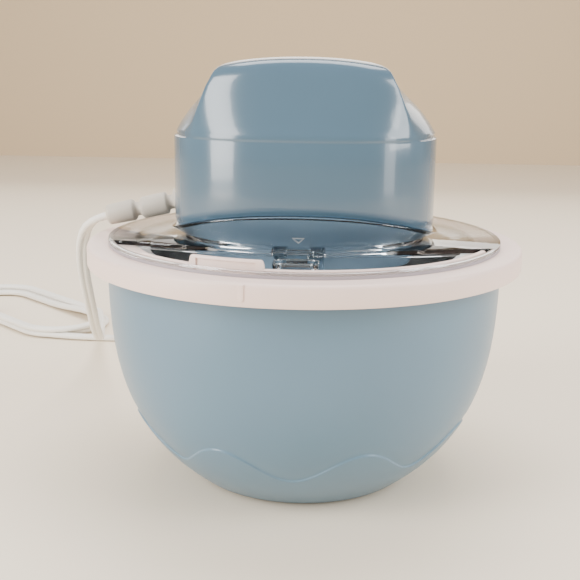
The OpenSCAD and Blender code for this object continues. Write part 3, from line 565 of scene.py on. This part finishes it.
# %% [markdown]
# ## The oval of the motor unit
# The lid's socket, the motor base and the motor housing share one plan: an oval whose corners are a little
# fuller than an ellipse's. Each is a ring or a stack of sections taken at angles around the axis, so one
# function that gives the oval's radius at an angle keeps all three in line, with the seam that rises at the
# front.

# %% Shared plan and seam
LID_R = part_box("lid")[1][0] / MM
TOP_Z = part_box("motor_housing")[1][2] / MM
BODY_H, LID_T = 72.2, 1.9
LID_Z = TOP_Z - BODY_H
PLATE_Z = LID_Z - LID_T
SEAM_Z, SEAM_RISE, RISE_POWER = LID_Z + 3, 10.3, 1.9
OVAL = 2.35
BODY_A, BODY_B = 53.5, 45
FOOT_A, FOOT_B, SOCKET_T = 46.4, 36.4, 1.6
FLARE_A, FLARE_B = 7.4, 8.6


def oval_radius(a, b, fullness, angle):
    c, s = abs(math.cos(math.radians(angle))), abs(math.sin(math.radians(angle)))
    return ((c / a) ** fullness + (s / b) ** fullness) ** (-1 / fullness)


def seam_height(angle):
    r = oval_radius(BODY_A, BODY_B, OVAL, angle)
    forward = -r * math.sin(math.radians(angle))
    return SEAM_Z + SEAM_RISE * (max(forward, 0.0) / BODY_B) ** RISE_POWER


def flared(angle, u, a, b, flare_a, flare_b):
    out = max(u, 0.0) ** 1.15
    return oval_radius(a + flare_a * out, b + flare_b * out, OVAL, angle)


# %% [markdown]
# ## Lid
# The lid is one clear moulding: a flat top, a thin rim on the seal, a lip along the curved front edge, and
# a socket that flares up around the motor unit. Clear plastic shows every edge, so the edges are rounded,
# and the skin has no inner walls where parts join. A union of simple solids would leave hard creases. One
# ring of sections gives the whole lid, and a short bar closes the rim in front of the feed opening.

# %% Lid
CHORD, CHORD_BOW, CHORD_HALF = 39.5, 15, 74
INNER_R, RIM_Z = LID_R - 2.1, PLATE_Z + 0.78
TIP_ANGLE, TIP_REACH = 19.3, 5.5
SLIT_X, SLIT_Y, LIP_DEEP = 9.9, 37.6, 0.8


def chord_radius(angle):
    c, s = math.cos(math.radians(angle)), abs(math.sin(math.radians(angle)))
    k = CHORD_BOW / CHORD_HALF ** 2 * c * c
    return CHORD / s if k < 1e-9 else (-s + math.sqrt(s * s + 4 * k * CHORD)) / (2 * k)


def front_angle(angle):
    """How far an angle lies in front of the opening's tips, in degrees, or below 0 behind them."""
    return 90 - TIP_ANGLE - abs((angle + 90 + 180) % 360 - 180)


def lid_section(angle):
    seam = seam_height(angle)
    low = LID_Z - 0.4
    levels = [1, 0.97, 0.9, 0.8, 0.68, 0.55, 0.42, 0.3]
    outside = [(flared(angle, u, FOOT_A, FOOT_B, FLARE_A, FLARE_B) + SOCKET_T, low + (seam - low) * u)
               for u in levels]
    inside = [(r - SOCKET_T, z) for r, z in outside[::-1]]
    outside[0] = (outside[0][0] - 0.35, outside[0][1])
    inside[-1] = (inside[-1][0] + 0.35, inside[-1][1])
    foot = oval_radius(FOOT_A, FOOT_B, OVAL, angle) + SOCKET_T
    opening = front_angle(angle)
    if opening > 0:
        chord = chord_radius(angle)
        edge = INNER_R - (INNER_R - chord) * bulge(opening, TIP_REACH)
        in_slit = abs(foot * math.cos(math.radians(angle))) < SLIT_X
        edge = foot + 0.05 if in_slit else max(edge, foot + 0.05)
    else:
        edge = LID_R
    room = min(1.9, edge - foot - 0.05)
    curve = ((0.12, 0.62), (0.36, 0.27), (0.68, 0.07), (1, 0))
    fillet = [(foot + room * a, LID_Z + room * 1.1 * b) for a, b in curve]
    section = outside + fillet
    if opening > 0:
        base = PLATE_Z if in_slit else PLATE_Z - LIP_DEEP
        section += [(edge - 0.35, LID_Z), (edge - 0.1, LID_Z - 0.1), (edge, LID_Z - 0.35)]
        section += [(edge, base + 0.35), (edge - 0.1, base + 0.1), (edge - 0.35, base)]
        back = max(edge - 1.6, foot - 1.2)
        section += [(back + 0.2, base), (back, base + 0.15), (back, PLATE_Z)]
    else:
        section += [(edge - 0.45, LID_Z), (edge - 0.13, LID_Z - 0.12), (edge, LID_Z - 0.4)]
        section += [(edge, PLATE_Z + 1), (edge - 0.12, PLATE_Z + 0.8), (edge - 0.4, RIM_Z)]
        section += [(INNER_R + 0.1, RIM_Z), (INNER_R - 0.15, PLATE_Z + 0.6), (INNER_R - 0.3, PLATE_Z)]
    section += [(foot - 0.5, PLATE_Z), (foot - SOCKET_T + 0.8, PLATE_Z + 0.1)]
    section += [(foot - SOCKET_T + 0.6, LID_Z - 0.6)]
    return around(section + inside, angle)


def lid_angles():
    angles = {i * 1.0 for i in range(-180, 180)}
    tips = [-TIP_ANGLE, -180 + TIP_ANGLE]
    for tip, way in zip(tips, (-1, 1)):
        angles |= {tip - way * 0.02, tip + way * 0.02}
        angles |= {tip + way * d for d in (0.06, 0.15, 0.3, 0.5, 0.8, 1.2, 1.7, 2.3)}
    slit = math.degrees(math.acos(SLIT_X / math.hypot(SLIT_X, SLIT_Y)))
    for a in (-slit, -180 + slit):
        angles |= {a - 0.06, a + 0.06, a - 0.3, a + 0.3}
    return sorted(angles)


def front_bar():
    """The rim in front of the feed opening, closed at both ends inside the lid."""
    section = [(LID_R - 0.4, LID_Z), (LID_R - 0.1, LID_Z - 0.1), (LID_R, LID_Z - 0.4), (LID_R, PLATE_Z + 1),
               (LID_R - 0.12, PLATE_Z + 0.8), (LID_R - 0.4, RIM_Z), (INNER_R + 0.4, RIM_Z),
               (INNER_R + 0.1, PLATE_Z + 0.85), (INNER_R, PLATE_Z + 1.1), (INNER_R, LID_Z - 0.4),
               (INNER_R + 0.1, LID_Z - 0.1), (INNER_R + 0.4, LID_Z)]
    start, end, steps = -180 + TIP_ANGLE - 0.15, -TIP_ANGLE + 0.15, 150
    return stack([around(section, start + (end - start) * i / steps) for i in range(steps + 1)])


lid = combine("clear_lid", [hoop([lid_section(a) for a in lid_angles()]), front_bar()], 35)
give(lid, CLEAR_LID, "lid", ["lid"])


# %% Mark on the socket
def socket_point(x, z, out):
    """A point on the front of the socket's outside."""
    angle = -90 + math.degrees(math.asin(x / 40))
    u = (z - LID_Z + 0.4) / (seam_height(angle) - LID_Z + 0.4)
    r = flared(angle, u, FOOT_A, FOOT_B, FLARE_A, FLARE_B) + SOCKET_T + out
    return (x, -math.sqrt(r * r - x * x), z)


def outline_mark(half, high, line, z):
    """An open triangle that points down, raised a little from the socket."""
    corners = [(-half, z + high), (half, z + high), (0, z)]
    inner = [(-half + line * 1.9, z + high - line), (half - line * 1.9, z + high - line), (0, z + line * 1.5)]
    sunk, proud = -0.1, 0.16
    sections = []
    for (x0, z0), (x1, z1) in zip(corners, inner):
        sections.append([socket_point(x0, z0, sunk), socket_point(x0, z0, proud),
                         socket_point(x1, z1, proud), socket_point(x1, z1, sunk)])
    return hoop(sections)


mark = make_piece("lid_mark", *outline_mark(2.5, 2.5, 0.38, LID_Z + 2.6), sharp=20)
MARK_GREY = moulded("mark_grey", (0.50, 0.55, 0.58), 0.4)
give(mark, MARK_GREY, "lid")

# %% [markdown]
# ## Motor base
# The base stands in the socket and shows through it. Its skin flares from the floor to the seam. At the
# front it has the pocket that the lid's catch reaches into. The skin is a ring of sections again; the
# pocket is a stretch of them that is set back, with extra sections at its sides. Four screws sit in round
# sinks, cut by a Boolean.

# %% Motor base
BASE_Z = LID_Z - 9.3
BASE_A, BASE_B, BASE_WALL, BASE_FLOOR = 46, 36, 2, 3
# How much narrower the base is at its floor, and how far it flares towards the seam
NARROW_A, NARROW_B, OPEN_A, OPEN_B = 0.8, 0.6, 7.2, 8.4
# The pocket for the catch, with a block in its middle
POCKET_X, POCKET_TOP, POCKET_DEEP, POCKET_R = 9.7, LID_Z + 1.2, 4, 37
BLOCK_X, BLOCK_LOW = 4.9, LID_Z - 0.7
SHAFT_HOLE_R, OUTSIDE_POINTS = 6.05, 15


def base_section(angle):
    seam = seam_height(angle) + 0.1
    low = LID_Z
    x = POCKET_R * math.cos(math.radians(angle))
    front = math.sin(math.radians(angle)) < 0
    pocket = front and abs(x) < POCKET_X
    block = pocket and abs(x) < BLOCK_X
    rows = [(BASE_Z, 0), (BASE_Z + 0.4, 0.4), (BLOCK_LOW - 0.02, 1), (BLOCK_LOW, 1), (low, 1)]
    heights = [low + (seam - low) * u for u in (0.03, 0.2, 0.35, 0.5, 0.65, 0.8, 0.92, 1)]
    rows += [(POCKET_TOP - 0.02, 1), (POCKET_TOP, 1)] + [(h, 1) for h in heights if h > POCKET_TOP]
    section = []
    for z, edge in rows:
        u = (z - low) / (seam - low)
        taper = min(1.0, (z - BASE_Z) / (low - BASE_Z))
        a, b = BASE_A - NARROW_A * (1 - taper), BASE_B - NARROW_B * (1 - taper)
        r = flared(angle, u, a, b, OPEN_A, OPEN_B) - (1 - edge) * 0.4
        set_back = pocket and z < POCKET_TOP and not (block and z >= BLOCK_LOW)
        section.append((r - POCKET_DEEP * set_back, z))
    while len(section) < OUTSIDE_POINTS:
        section.append(section[-1])
    rim = section[-1]
    inner = BASE_WALL + (POCKET_DEEP + 0.8) * pocket
    section += [(rim[0] - BASE_WALL, rim[1])]
    floor_r = oval_radius(BASE_A - NARROW_A, BASE_B - NARROW_B, OVAL, angle)
    section += [(flared(angle, 0.3, BASE_A, BASE_B, OPEN_A, OPEN_B) - inner, low + 3)]
    section += [(oval_radius(BASE_A, BASE_B, OVAL, angle) - inner, low)]
    section += [(floor_r - inner, BASE_Z + BASE_FLOOR), (SHAFT_HOLE_R, BASE_Z + BASE_FLOOR)]
    section += [(SHAFT_HOLE_R, BASE_Z + 0.3), (SHAFT_HOLE_R + 0.35, BASE_Z)]
    return around(section, angle)


def base_angles():
    angles = {i * 1.5 for i in range(-120, 120)}
    for x in (-POCKET_X, -BLOCK_X, BLOCK_X, POCKET_X):
        a = -90 + math.degrees(math.asin(x / POCKET_R))
        angles |= {a - 0.04, a + 0.04}
    return sorted(angles)


def cut(piece, cutter):
    """Takes the cutter's shape out of a piece for good."""
    modifier = piece.modifiers.new("cut", "BOOLEAN")
    modifier.operation = "DIFFERENCE"
    modifier.solver = "EXACT"
    modifier.object = cutter
    whole = piece.evaluated_get(bpy.context.evaluated_depsgraph_get())
    mesh = bpy.data.meshes.new_from_object(whole)
    piece.modifiers.clear()
    piece.data = mesh
    bpy.data.objects.remove(cutter)
    finish_mesh(piece.data, 40)


def post(x, y, radius, low, high, sides=40):
    """A round post as points and faces."""
    rings = [[(x + radius * math.cos(math.tau * i / sides), y + radius * math.sin(math.tau * i / sides), z)
              for i in range(sides)] for z in (low, high)]
    return stack(rings)


motor_base = make_piece("motor_base_skin", *hoop([base_section(a) for a in base_angles()]), sharp=35)
SCREWS = [(x, y) for x in (-40, 40) for y in (-10, 10)]
cut(motor_base, combine("screw_sinks", [post(x, y, 3.1, BASE_Z - 2, BASE_Z + 3.8) for x, y in SCREWS]))
# The base's blue carries painted light that makes up for the clear lid's shade.
give(motor_base, BASE_BLUE_PAINTED_LIGHT, "motor_unit", ["motor_base"])

# %% [markdown]
# ## Motor housing
# The housing is a glossy hood on the same oval. Its front wall is upright up to a crease and leans back
# above it, and two scoops take the sides away, each with a sharp ridge where it meets the front and the
# back. The ridge is where two curves cross: at each height the plan follows whichever of the oval and the
# scoop is nearer to the axis. The columns of the mesh are placed from the ridge outwards, so that the ridge
# runs along a column.

# %% Housing plan
CREASE_Z = TOP_Z - 28.5
# Height, half of the depth, half of the width in the scoop, half of the width at the ridge
HOUSING_LEVELS = [(CREASE_Z - 0.8, 45.0, 52.9, 42.6), (CREASE_Z, 44.75, 52.4, 42.5),
                  (CREASE_Z + 0.9, 44.4, 51.9, 42.2), (CREASE_Z + 3, 43.7, 50.6, 41.6),
                  (CREASE_Z + 8, 42.2, 46.8, 40.0), (CREASE_Z + 15, 40.1, 41.3, 37.9),
                  (CREASE_Z + 20, 38.6, 37.3, 36.4), (CREASE_Z + 22.6, 37.7, 35.7, 35.1),
                  (TOP_Z - 4, 36.9, 34.9, 34.2), (TOP_Z - 2.6, 36.0, 34.1, 33.3),
                  (TOP_Z - 1.5, 34.6, 32.7, 31.9),
                  (TOP_Z - 0.8, 32.4, 30.5, 29.7), (TOP_Z - 0.35, 29, 27, 26.3), (TOP_Z - 0.1, 23, 21, 20.4),
                  (TOP_Z, 12, 11, 10.7)]


def oval_at(level, angle):
    z, depth = level[0], level[1]
    lean = smooth((z - CREASE_Z) / 22)
    shrink = min(1.0, depth / 38)
    return oval_radius(BODY_A * shrink, depth, OVAL + 0.4 * lean, angle)


def scoop_at(level, angle):
    """The scoop's plan: furthest out at the side, and bending in to the ridge."""
    half, ridge = level[2], level[3]
    reach = math.sqrt(max(oval_at(level, ridge_guess(level)) ** 2 - ridge ** 2, 1.0))
    k = max(half - ridge, 0.05) / reach ** 2
    c, s = abs(math.cos(math.radians(angle))), abs(math.sin(math.radians(angle)))
    return half / c if s < 1e-4 else (-c + math.sqrt(c * c + 4 * k * half * s * s)) / (2 * k * s * s)


def ridge_guess(level):
    """Angle at which the oval is as wide as the ridge."""
    low, high = 1.0, 89.0
    for _ in range(40):
        middle = (low + high) / 2
        wide = oval_at(level, middle) * math.cos(math.radians(middle))
        low, high = (middle, high) if wide > level[3] else (low, middle)
    return (low + high) / 2


def softer(first, second, blend_over):
    """The smaller of two lengths, with the change from one to the other rounded."""
    least = min(first, second)
    return least - blend_over * math.log(math.exp((least - first) / blend_over)
                                         + math.exp((least - second) / blend_over))


# %% Housing skin
FRONT_PARTS = [0.02, 0.045, 0.08, 0.13, 0.2, 0.28, 0.37, 0.46, 0.55, 0.64, 0.73, 0.82, 0.91, 1]
SIDE_PARTS = [0, 0.1, 0.2, 0.3, 0.4, 0.5, 0.6, 0.7, 0.78, 0.85, 0.91, 0.95, 0.98]


def quarter_angles(ridge):
    """Angles from the side to the front, closer together at the ridge."""
    side = [ridge * part for part in SIDE_PARTS]
    return side + [ridge] + [ridge + (90 - ridge) * part for part in FRONT_PARTS]


def all_round(ridge):
    quarter = quarter_angles(ridge)
    half = quarter + [180 - a for a in quarter[-2::-1]]
    return half + [180 + a for a in half[1:-1]]


def housing_ring(level, inset=0.0, seam_part=None, scooped=True):
    """One ring of the housing. With seam_part given, the ring lies that far above the seam."""
    ridge = ridge_guess(level)
    ring = []
    for angle in all_round(ridge):
        r = oval_at(level, angle)
        if scooped:
            r = softer(r, scoop_at(level, angle), 0.22)
        if seam_part is None:
            z = level[0] - crown(level[0], r * math.cos(math.radians(angle)))
        else:
            z = seam_height(angle) + seam_part
        r -= inset
        ring.append((r * math.cos(math.radians(angle)), r * math.sin(math.radians(angle)), z))
    return ring


def crown(z, x):
    """How much the hood's top curves down towards its sides."""
    return 3.1 * smooth((z - CREASE_Z - 6) / 20) * min(abs(x) / 34, 1.15) ** 2.2


def lower_level(z):
    return (z, BODY_B, BODY_A, 42.6)


WALL = 2.2
# Height above the seam and inset of each ring at the foot, inside and outside
INSIDE_FOOT = ((4, 0), (0.5, 1.4))
OUTSIDE_FOOT = ((0.4, 1.75), (0.45, 1.5), (0.7, 1.28), (1.3, 0.85), (2.2, 0.4), (3.2, 0.1), (4.2, 0))
inner_rings = [housing_ring((TOP_Z - WALL - 1, 36, 34, 33.5), WALL)]
inner_rings += [housing_ring(level, WALL) for level in HOUSING_LEVELS[6:0:-2]]
inner_rings += [housing_ring(lower_level(CREASE_Z - 4), WALL, None, False)]
inner_rings += [housing_ring(lower_level(0), WALL + inset, part, False) for part, inset in INSIDE_FOOT]
outer_rings = [housing_ring(lower_level(0), inset, part, False) for part, inset in OUTSIDE_FOOT]
outer_rings += [housing_ring(lower_level(z), 0, None, False)
                for z in (SEAM_Z + 18, CREASE_Z - 12, CREASE_Z - 3.2)]
outer_rings += [housing_ring(lower_level(CREASE_Z - 2.7), 0.1, None, False)]
outer_rings += [housing_ring((CREASE_Z - 2.3, 45, 52.9, 42.7))]
outer_rings += [housing_ring((CREASE_Z - 1.6, 45, 52.5, 42.6))]
outer_rings += [housing_ring(level) for level in HOUSING_LEVELS]
motor_housing = make_piece("motor_housing_skin", *stack(inner_rings + outer_rings), sharp=48)

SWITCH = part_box("switch_frame")
SWITCH_X, SWITCH_Z = SWITCH[1][0] / MM - 1.6, (SWITCH[0][2] + SWITCH[1][2]) / 2 / MM
SWITCH_HIGH = (SWITCH[1][2] - SWITCH[0][2]) / 2 / MM - 1.6


def block(low, high):
    """A box as points and faces, for cutting with."""
    rings = [[(low[0], low[1], z), (high[0], low[1], z), (high[0], high[1], z), (low[0], high[1], z)]
             for z in (low[2], high[2])]
    return stack(rings)


cut(motor_housing, combine("switch_hole", [block((-SWITCH_X, BODY_B - 8, SWITCH_Z - SWITCH_HIGH),
                                                 (SWITCH_X, BODY_B + 8, SWITCH_Z + SWITCH_HIGH))]))
give(motor_housing, HOUSING_BLUE, "motor_unit", ["motor_housing"])

# %% [markdown]
# ## Strain relief
# The grey relief is a flange and two barrels with thin necks between them, so the cord bends in an arc and
# doesn't kink at the housing. All of it is turned in one profile, which is what a lathe would do. Four fine
# ribs stand round the first long barrel. They are rings placed along its axis by Geometry Nodes: a line
# gives their places, and each one is the same small torus.

# %% Strain relief
RELIEF_FROM = Vector((-0.0522, 0.0123, 0.1142))
RELIEF_TO = Vector(RUN[0])
RELIEF_LONG = (RELIEF_TO - RELIEF_FROM).length / MM


def along_axis(start, end):
    """Matrix that stands +Z along the way from start to end, with its origin at start."""
    turn = (end - start).to_track_quat("Z", "Y").to_matrix().to_4x4()
    return Matrix.Translation(start) @ turn


def lathe(profile, sides=48):
    """A profile of (radius, length) points turned about +Z, as points and faces."""
    return stack([[(r * math.cos(math.tau * i / sides), r * math.sin(math.tau * i / sides), z)
                   for i in range(sides)] for r, z in profile])


def placed(part, matrix):
    """The same points after a matrix in metres."""
    points, faces = part
    return [tuple((matrix @ (Vector(p) * MM)) / MM) for p in points], faces


RELIEF_PROFILE = [(3.3, -3), (3.4, 0.5), (5.5, 1.4), (5.9, 1.75), (5.85, 2.1), (5.3, 4.3), (5.05, 4.7),
                  (4.5, 4.95), (3.3, 5.4), (3.1, 5.8), (3.1, 7.4), (3.3, 7.75), (4.4, 8.3), (4.7, 8.6),
                  (4.75, 9), (4.75, 18.7), (4.6, 19.3), (4.1, 19.8), (3.1, 20.4), (2.95, 20.8), (2.95, 22),
                  (3.1, 22.3), (4.1, 22.85), (4.6, 23.6), (4.65, 24), (4.4, RELIEF_LONG - 1.4),
                  (4.2, RELIEF_LONG - 0.6), (3.5, RELIEF_LONG - 0.1), (2.6, RELIEF_LONG)]
relief_skin = placed(lathe(RELIEF_PROFILE), along_axis(RELIEF_FROM, RELIEF_TO))
relief = make_piece("strain_relief_skin", *relief_skin, sharp=55)
give(relief, RELIEF_GREY, "motor_unit", ["strain_relief"])


# %% Ribs by Geometry Nodes
def ring_row(name, material):
    """A node group that puts rings along +Z: how many, how far apart, their radius, their bead's."""
    group = bpy.data.node_groups.new(name, "GeometryNodeTree")
    sockets = {}
    for label in ("Rings", "Spacing", "Radius", "Bead"):
        kind = "NodeSocketInt" if label == "Rings" else "NodeSocketFloat"
        sockets[label] = group.interface.new_socket(label, in_out="INPUT", socket_type=kind).identifier
    group.interface.new_socket("Geometry", in_out="OUTPUT", socket_type="NodeSocketGeometry")
    nodes, links = group.nodes, group.links
    given, out = nodes.new("NodeGroupInput"), nodes.new("NodeGroupOutput")
    offset = nodes.new("ShaderNodeCombineXYZ")
    links.new(given.outputs["Spacing"], offset.inputs["Z"])
    line = nodes.new("GeometryNodeMeshLine")
    links.new(given.outputs["Rings"], line.inputs["Count"])
    links.new(offset.outputs[0], line.inputs["Offset"])
    path = nodes.new("GeometryNodeCurvePrimitiveCircle")
    bead = nodes.new("GeometryNodeCurvePrimitiveCircle")
    path.inputs["Resolution"].default_value = 48
    bead.inputs["Resolution"].default_value = 12
    links.new(given.outputs["Radius"], path.inputs["Radius"])
    links.new(given.outputs["Bead"], bead.inputs["Radius"])
    ring = nodes.new("GeometryNodeCurveToMesh")
    links.new(path.outputs["Curve"], ring.inputs["Curve"])
    links.new(bead.outputs["Curve"], ring.inputs["Profile Curve"])
    rows = nodes.new("GeometryNodeInstanceOnPoints")
    links.new(line.outputs["Mesh"], rows.inputs["Points"])
    links.new(ring.outputs["Mesh"], rows.inputs["Instance"])
    real, paint = nodes.new("GeometryNodeRealizeInstances"), nodes.new("GeometryNodeSetMaterial")
    paint.inputs["Material"].default_value = material
    links.new(rows.outputs["Instances"], real.inputs["Geometry"])
    links.new(real.outputs["Geometry"], paint.inputs["Geometry"])
    links.new(paint.outputs["Geometry"], out.inputs["Geometry"])
    return group, sockets


def rings_along(name, start, end, count, spacing, radius, bead, material):
    """Rings from start towards end, as a plain mesh."""
    holder = link(name + "_nodes", bpy.data.meshes.new(name + "_empty"))
    modifier = holder.modifiers.new("rings", "NODES")
    modifier.node_group, sockets = ring_row(name, material)
    for label, value in (("Rings", count), ("Spacing", spacing), ("Radius", radius), ("Bead", bead)):
        modifier[sockets[label]] = value
    whole = holder.evaluated_get(bpy.context.evaluated_depsgraph_get())
    mesh = bpy.data.meshes.new_from_object(whole)
    bpy.data.objects.remove(holder)
    mesh.transform(along_axis(start, end))
    mesh.shade_smooth()
    mesh.name = name
    print(f"{name}: {len(mesh.polygons)} faces")
    return link(name, mesh)


RIBS, RIB_SPACING, RIB_RADIUS, RIB_BEAD = 4, 0.0022, 0.00455, 0.00022
first_rib = RELIEF_FROM + (RELIEF_TO - RELIEF_FROM).normalized() * 0.0105
ribs = rings_along("strain_relief_ribs", first_rib, RELIEF_TO, RIBS, RIB_SPACING, RIB_RADIUS, RIB_BEAD,
                   RELIEF_GREY)
give(ribs, RELIEF_GREY, "motor_unit")

# %% [markdown]
# ## Plug
# The cord ends in a moulded plug with two round pins. Its body grows from the cord's size to a wide flat
# grip. It is a loft of rounded sections. The pins are turned, with domed tips, and stand in the body's
# face.

# %% Plug
PLUG = Matrix.Translation(Vector((-0.063, 0.171, 0.0073))) @ Matrix.Rotation(math.radians(-11), 4, "Z")


def rounded_section(x, wide, high, corner, steps=7):
    """A rectangle with round corners in the YZ plane, at x."""
    section = []
    for i, (sy, sz) in enumerate(((1, 1), (-1, 1), (-1, -1), (1, -1))):
        for k in range(steps):
            a = math.radians(90 * i + 90 * k / (steps - 1))
            y = sy * (wide - corner) + corner * math.cos(a)
            z = sz * (high - corner) + corner * math.sin(a)
            section.append((x, y, z))
    return section


# Distance from the cord, half of the width, half of the height, corner radius
PLUG_SHAPE = [(0.3, 3, 2.1, 1.9), (1, 3.3, 2.35, 2), (3, 4.2, 2.9, 2.2), (6, 5.6, 3.7, 2.6),
              (10, 7.6, 4.8, 3), (14, 9.7, 5.8, 3.2), (17, 11.4, 6.3, 3.2), (22, 12.9, 6.5, 3.2),
              (28, 14.4, 6.6, 3),
              (32.6, 15.6, 6.7, 2.6), (33.6, 15.9, 6.75, 2.4), (35.3, 15.9, 6.75, 2.3),
              (35.8, 15.7, 6.5, 2.1), (36, 15.1, 5.9, 1.6)]
plug_skin = placed(stack([rounded_section(*row) for row in PLUG_SHAPE]), PLUG)
plug = make_piece("plug_skin", *plug_skin, sharp=50)
give(plug, CORD_WHITE, "motor_unit", ["plug_body"])

PIN = [(2, -1), (2, 16.6), (1.9, 17.6), (1.55, 18.4), (0.9, 18.9), (0.3, 19)]
PLUG_LONG, PIN_Y = 0.036, 0.0095
laid = Matrix.Rotation(math.radians(90), 4, "Y")
pin_skins = [placed(lathe(PIN, 32), PLUG @ Matrix.Translation((PLUG_LONG, y, 0)) @ laid)
             for y in (-PIN_Y, PIN_Y)]
pins = combine("plug_pin_pair", pin_skins, 50)
give(pins, BRASS, "motor_unit", ["plug_pins"])

# %% [markdown]
# ## Release tab, paddle and the parts inside
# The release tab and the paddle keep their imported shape, with a small round on every edge. A bevel needs
# clean faces, so flat faces that were cut into triangles are joined first. Everything inside the motor unit
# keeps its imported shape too, and gets its own finish: turned steel, stamped plate, natural nylon, green
# board.

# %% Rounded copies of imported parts
def rounded_copy(name, node, width, sharp=35):
    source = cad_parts[node]
    mesh = source.data.copy()
    mesh.name = name
    build = bmesh.new()
    build.from_mesh(mesh)
    bmesh.ops.remove_doubles(build, verts=build.verts, dist=1e-6)
    bmesh.ops.dissolve_limit(build, angle_limit=math.radians(1), verts=build.verts, edges=build.edges)
    edges = [e for e in build.edges if len(e.link_faces) == 2 and e.calc_face_angle(0) > math.radians(sharp)]
    bmesh.ops.bevel(build, geom=edges, offset=width, segments=2, profile=0.5, affect="EDGES",
                    clamp_overlap=True)
    build.to_mesh(mesh)
    build.free()
    mesh.shade_smooth()
    mesh.set_sharp_from_angle(angle=math.radians(sharp))
    print(f"{name}: {len(mesh.polygons)} faces")
    return link(name, mesh)


tab = rounded_copy("release_tab_skin", "release_tab", 0.00025)
give(tab, CLEAR_TAB, "release_tab", ["release_tab"])
stirrer = rounded_copy("paddle_skin", "paddle", 0.0004)
give(stirrer, PADDLE_WHITE, "paddle", ["paddle"])

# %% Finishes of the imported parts
PLAIN = {
    "foot_pads": RUBBER, "freezer_shell": INNER_WHITE, "freezer_liner": LINER_METAL,
    "coolant_gel": GEL_BLUE, "bowl_gasket": RUBBER, "lid_seal": SEAL_GREY_AND_GAP_SHADE, "housing_screws": STEEL,
    "gear_plate": STEEL, "gear_screws": STEEL, "gear_axles": STEEL, "output_gear": GEAR_NYLON,
    # The lid seal's grey holds painted shade of the gap under the lid's rim.
    "drive_shaft": STEEL, "shaft_bush": BRASS, "shaft_seal": RUBBER, "idler_gear_low": GEAR_NYLON,
    "idler_gear_high": GEAR_NYLON, "motor_can": STEEL, "motor_shaft": STEEL, "motor_pinion": BRASS,
    "control_board": BOARD_GREEN, "inner_leads": LEAD_RED, "switch_frame": SWITCH_BLACK,
    "switch_rocker": SWITCH_BLACK, "cord_clamp": STEEL, "hank_tie": SWITCH_BLACK,
}
for name, material in PLAIN.items():
    give(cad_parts[name], material)
    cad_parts[name].data.shade_smooth()
    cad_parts[name].data.set_sharp_from_angle(angle=math.radians(32))
print("packed parts with a finish:", len(PLAIN))

# %% [markdown]
# ## Table, wall and light
# The maker stands on a pale table before a pale wall. A tall window of light on the left models the form
# and draws a broad streak on the glossy housing. A weaker light on the right fills it, a light above
# softens the shadows, and one behind the maker is mirrored in the clear lid and along the top edge. A small
# strip low on the right draws a short streak there. Area lights give soft edges; points or a sun would not.

# %% Stage
def plain(name, colour, rough):
    material = bpy.data.materials.new(name)
    material.use_nodes = True
    shader = material.node_tree.nodes["Principled BSDF"]
    shader.inputs["Base Color"].default_value = (*colour, 1)
    shader.inputs["Roughness"].default_value = rough
    return material


def panel(name, corners, material):
    mesh = bpy.data.meshes.new(name)
    mesh.from_pydata(corners, [], [(0, 1, 2, 3)])
    obj = link(name, mesh)
    obj.data.materials.append(material)
    return obj


HALF_ROOM, WALL_Y, TABLE_Z = 3, 1.4, -0.0002
panel("table", [(-HALF_ROOM, -HALF_ROOM, TABLE_Z), (HALF_ROOM, -HALF_ROOM, TABLE_Z),
                (HALF_ROOM, WALL_Y, TABLE_Z), (-HALF_ROOM, WALL_Y, TABLE_Z)],
      plain("table_cream", (0.84, 0.73, 0.58), 0.75))
panel("wall", [(-HALF_ROOM, WALL_Y, TABLE_Z), (HALF_ROOM, WALL_Y, TABLE_Z),
               (HALF_ROOM, WALL_Y, HALF_ROOM), (-HALF_ROOM, WALL_Y, HALF_ROOM)],
      plain("wall_beige", (0.66, 0.51, 0.33), 0.9))


def area_light(name, place, aim, width, height, power, colour=(1, 1, 1)):
    data = bpy.data.lights.new(name, "AREA")
    data.shape = "RECTANGLE"
    data.size, data.size_y = width, height
    data.energy = power
    data.color = colour
    lamp = bpy.data.objects.new(name, data)
    lamp.matrix_world = (Matrix.Translation(Vector(place))
                         @ (Vector(aim) - Vector(place)).to_track_quat("-Z", "Y").to_matrix().to_4x4())
    bpy.context.scene.collection.objects.link(lamp)
    return lamp


area_light("window", (-0.74, -0.52, 0.42), (0, 0, 0.14), 0.42, 0.85, 17.0, (1, 0.985, 0.96))
area_light("fill", (0.85, -0.25, 0.5), (0, 0, 0.1), 0.5, 0.7, 11.0, (0.97, 0.99, 1))
area_light("top", (0, 0.3, 1.1), (0, 0, 0.1), 0.9, 0.6, 13.0)
area_light("back", (0, 1.0, 0.54), (0, 0, 0.54), 2.0, 0.5, 8.0)
area_light("strip", (0.74, -0.42, 0.17), (0, 0, 0.13), 0.18, 0.3, 0.9)
world = bpy.data.worlds.new("room")
world.use_nodes = True
background = world.node_tree.nodes["Background"]
background.inputs["Color"].default_value = (0.93, 0.90, 0.86, 1)
background.inputs["Strength"].default_value = 0.8
bpy.context.scene.world = world
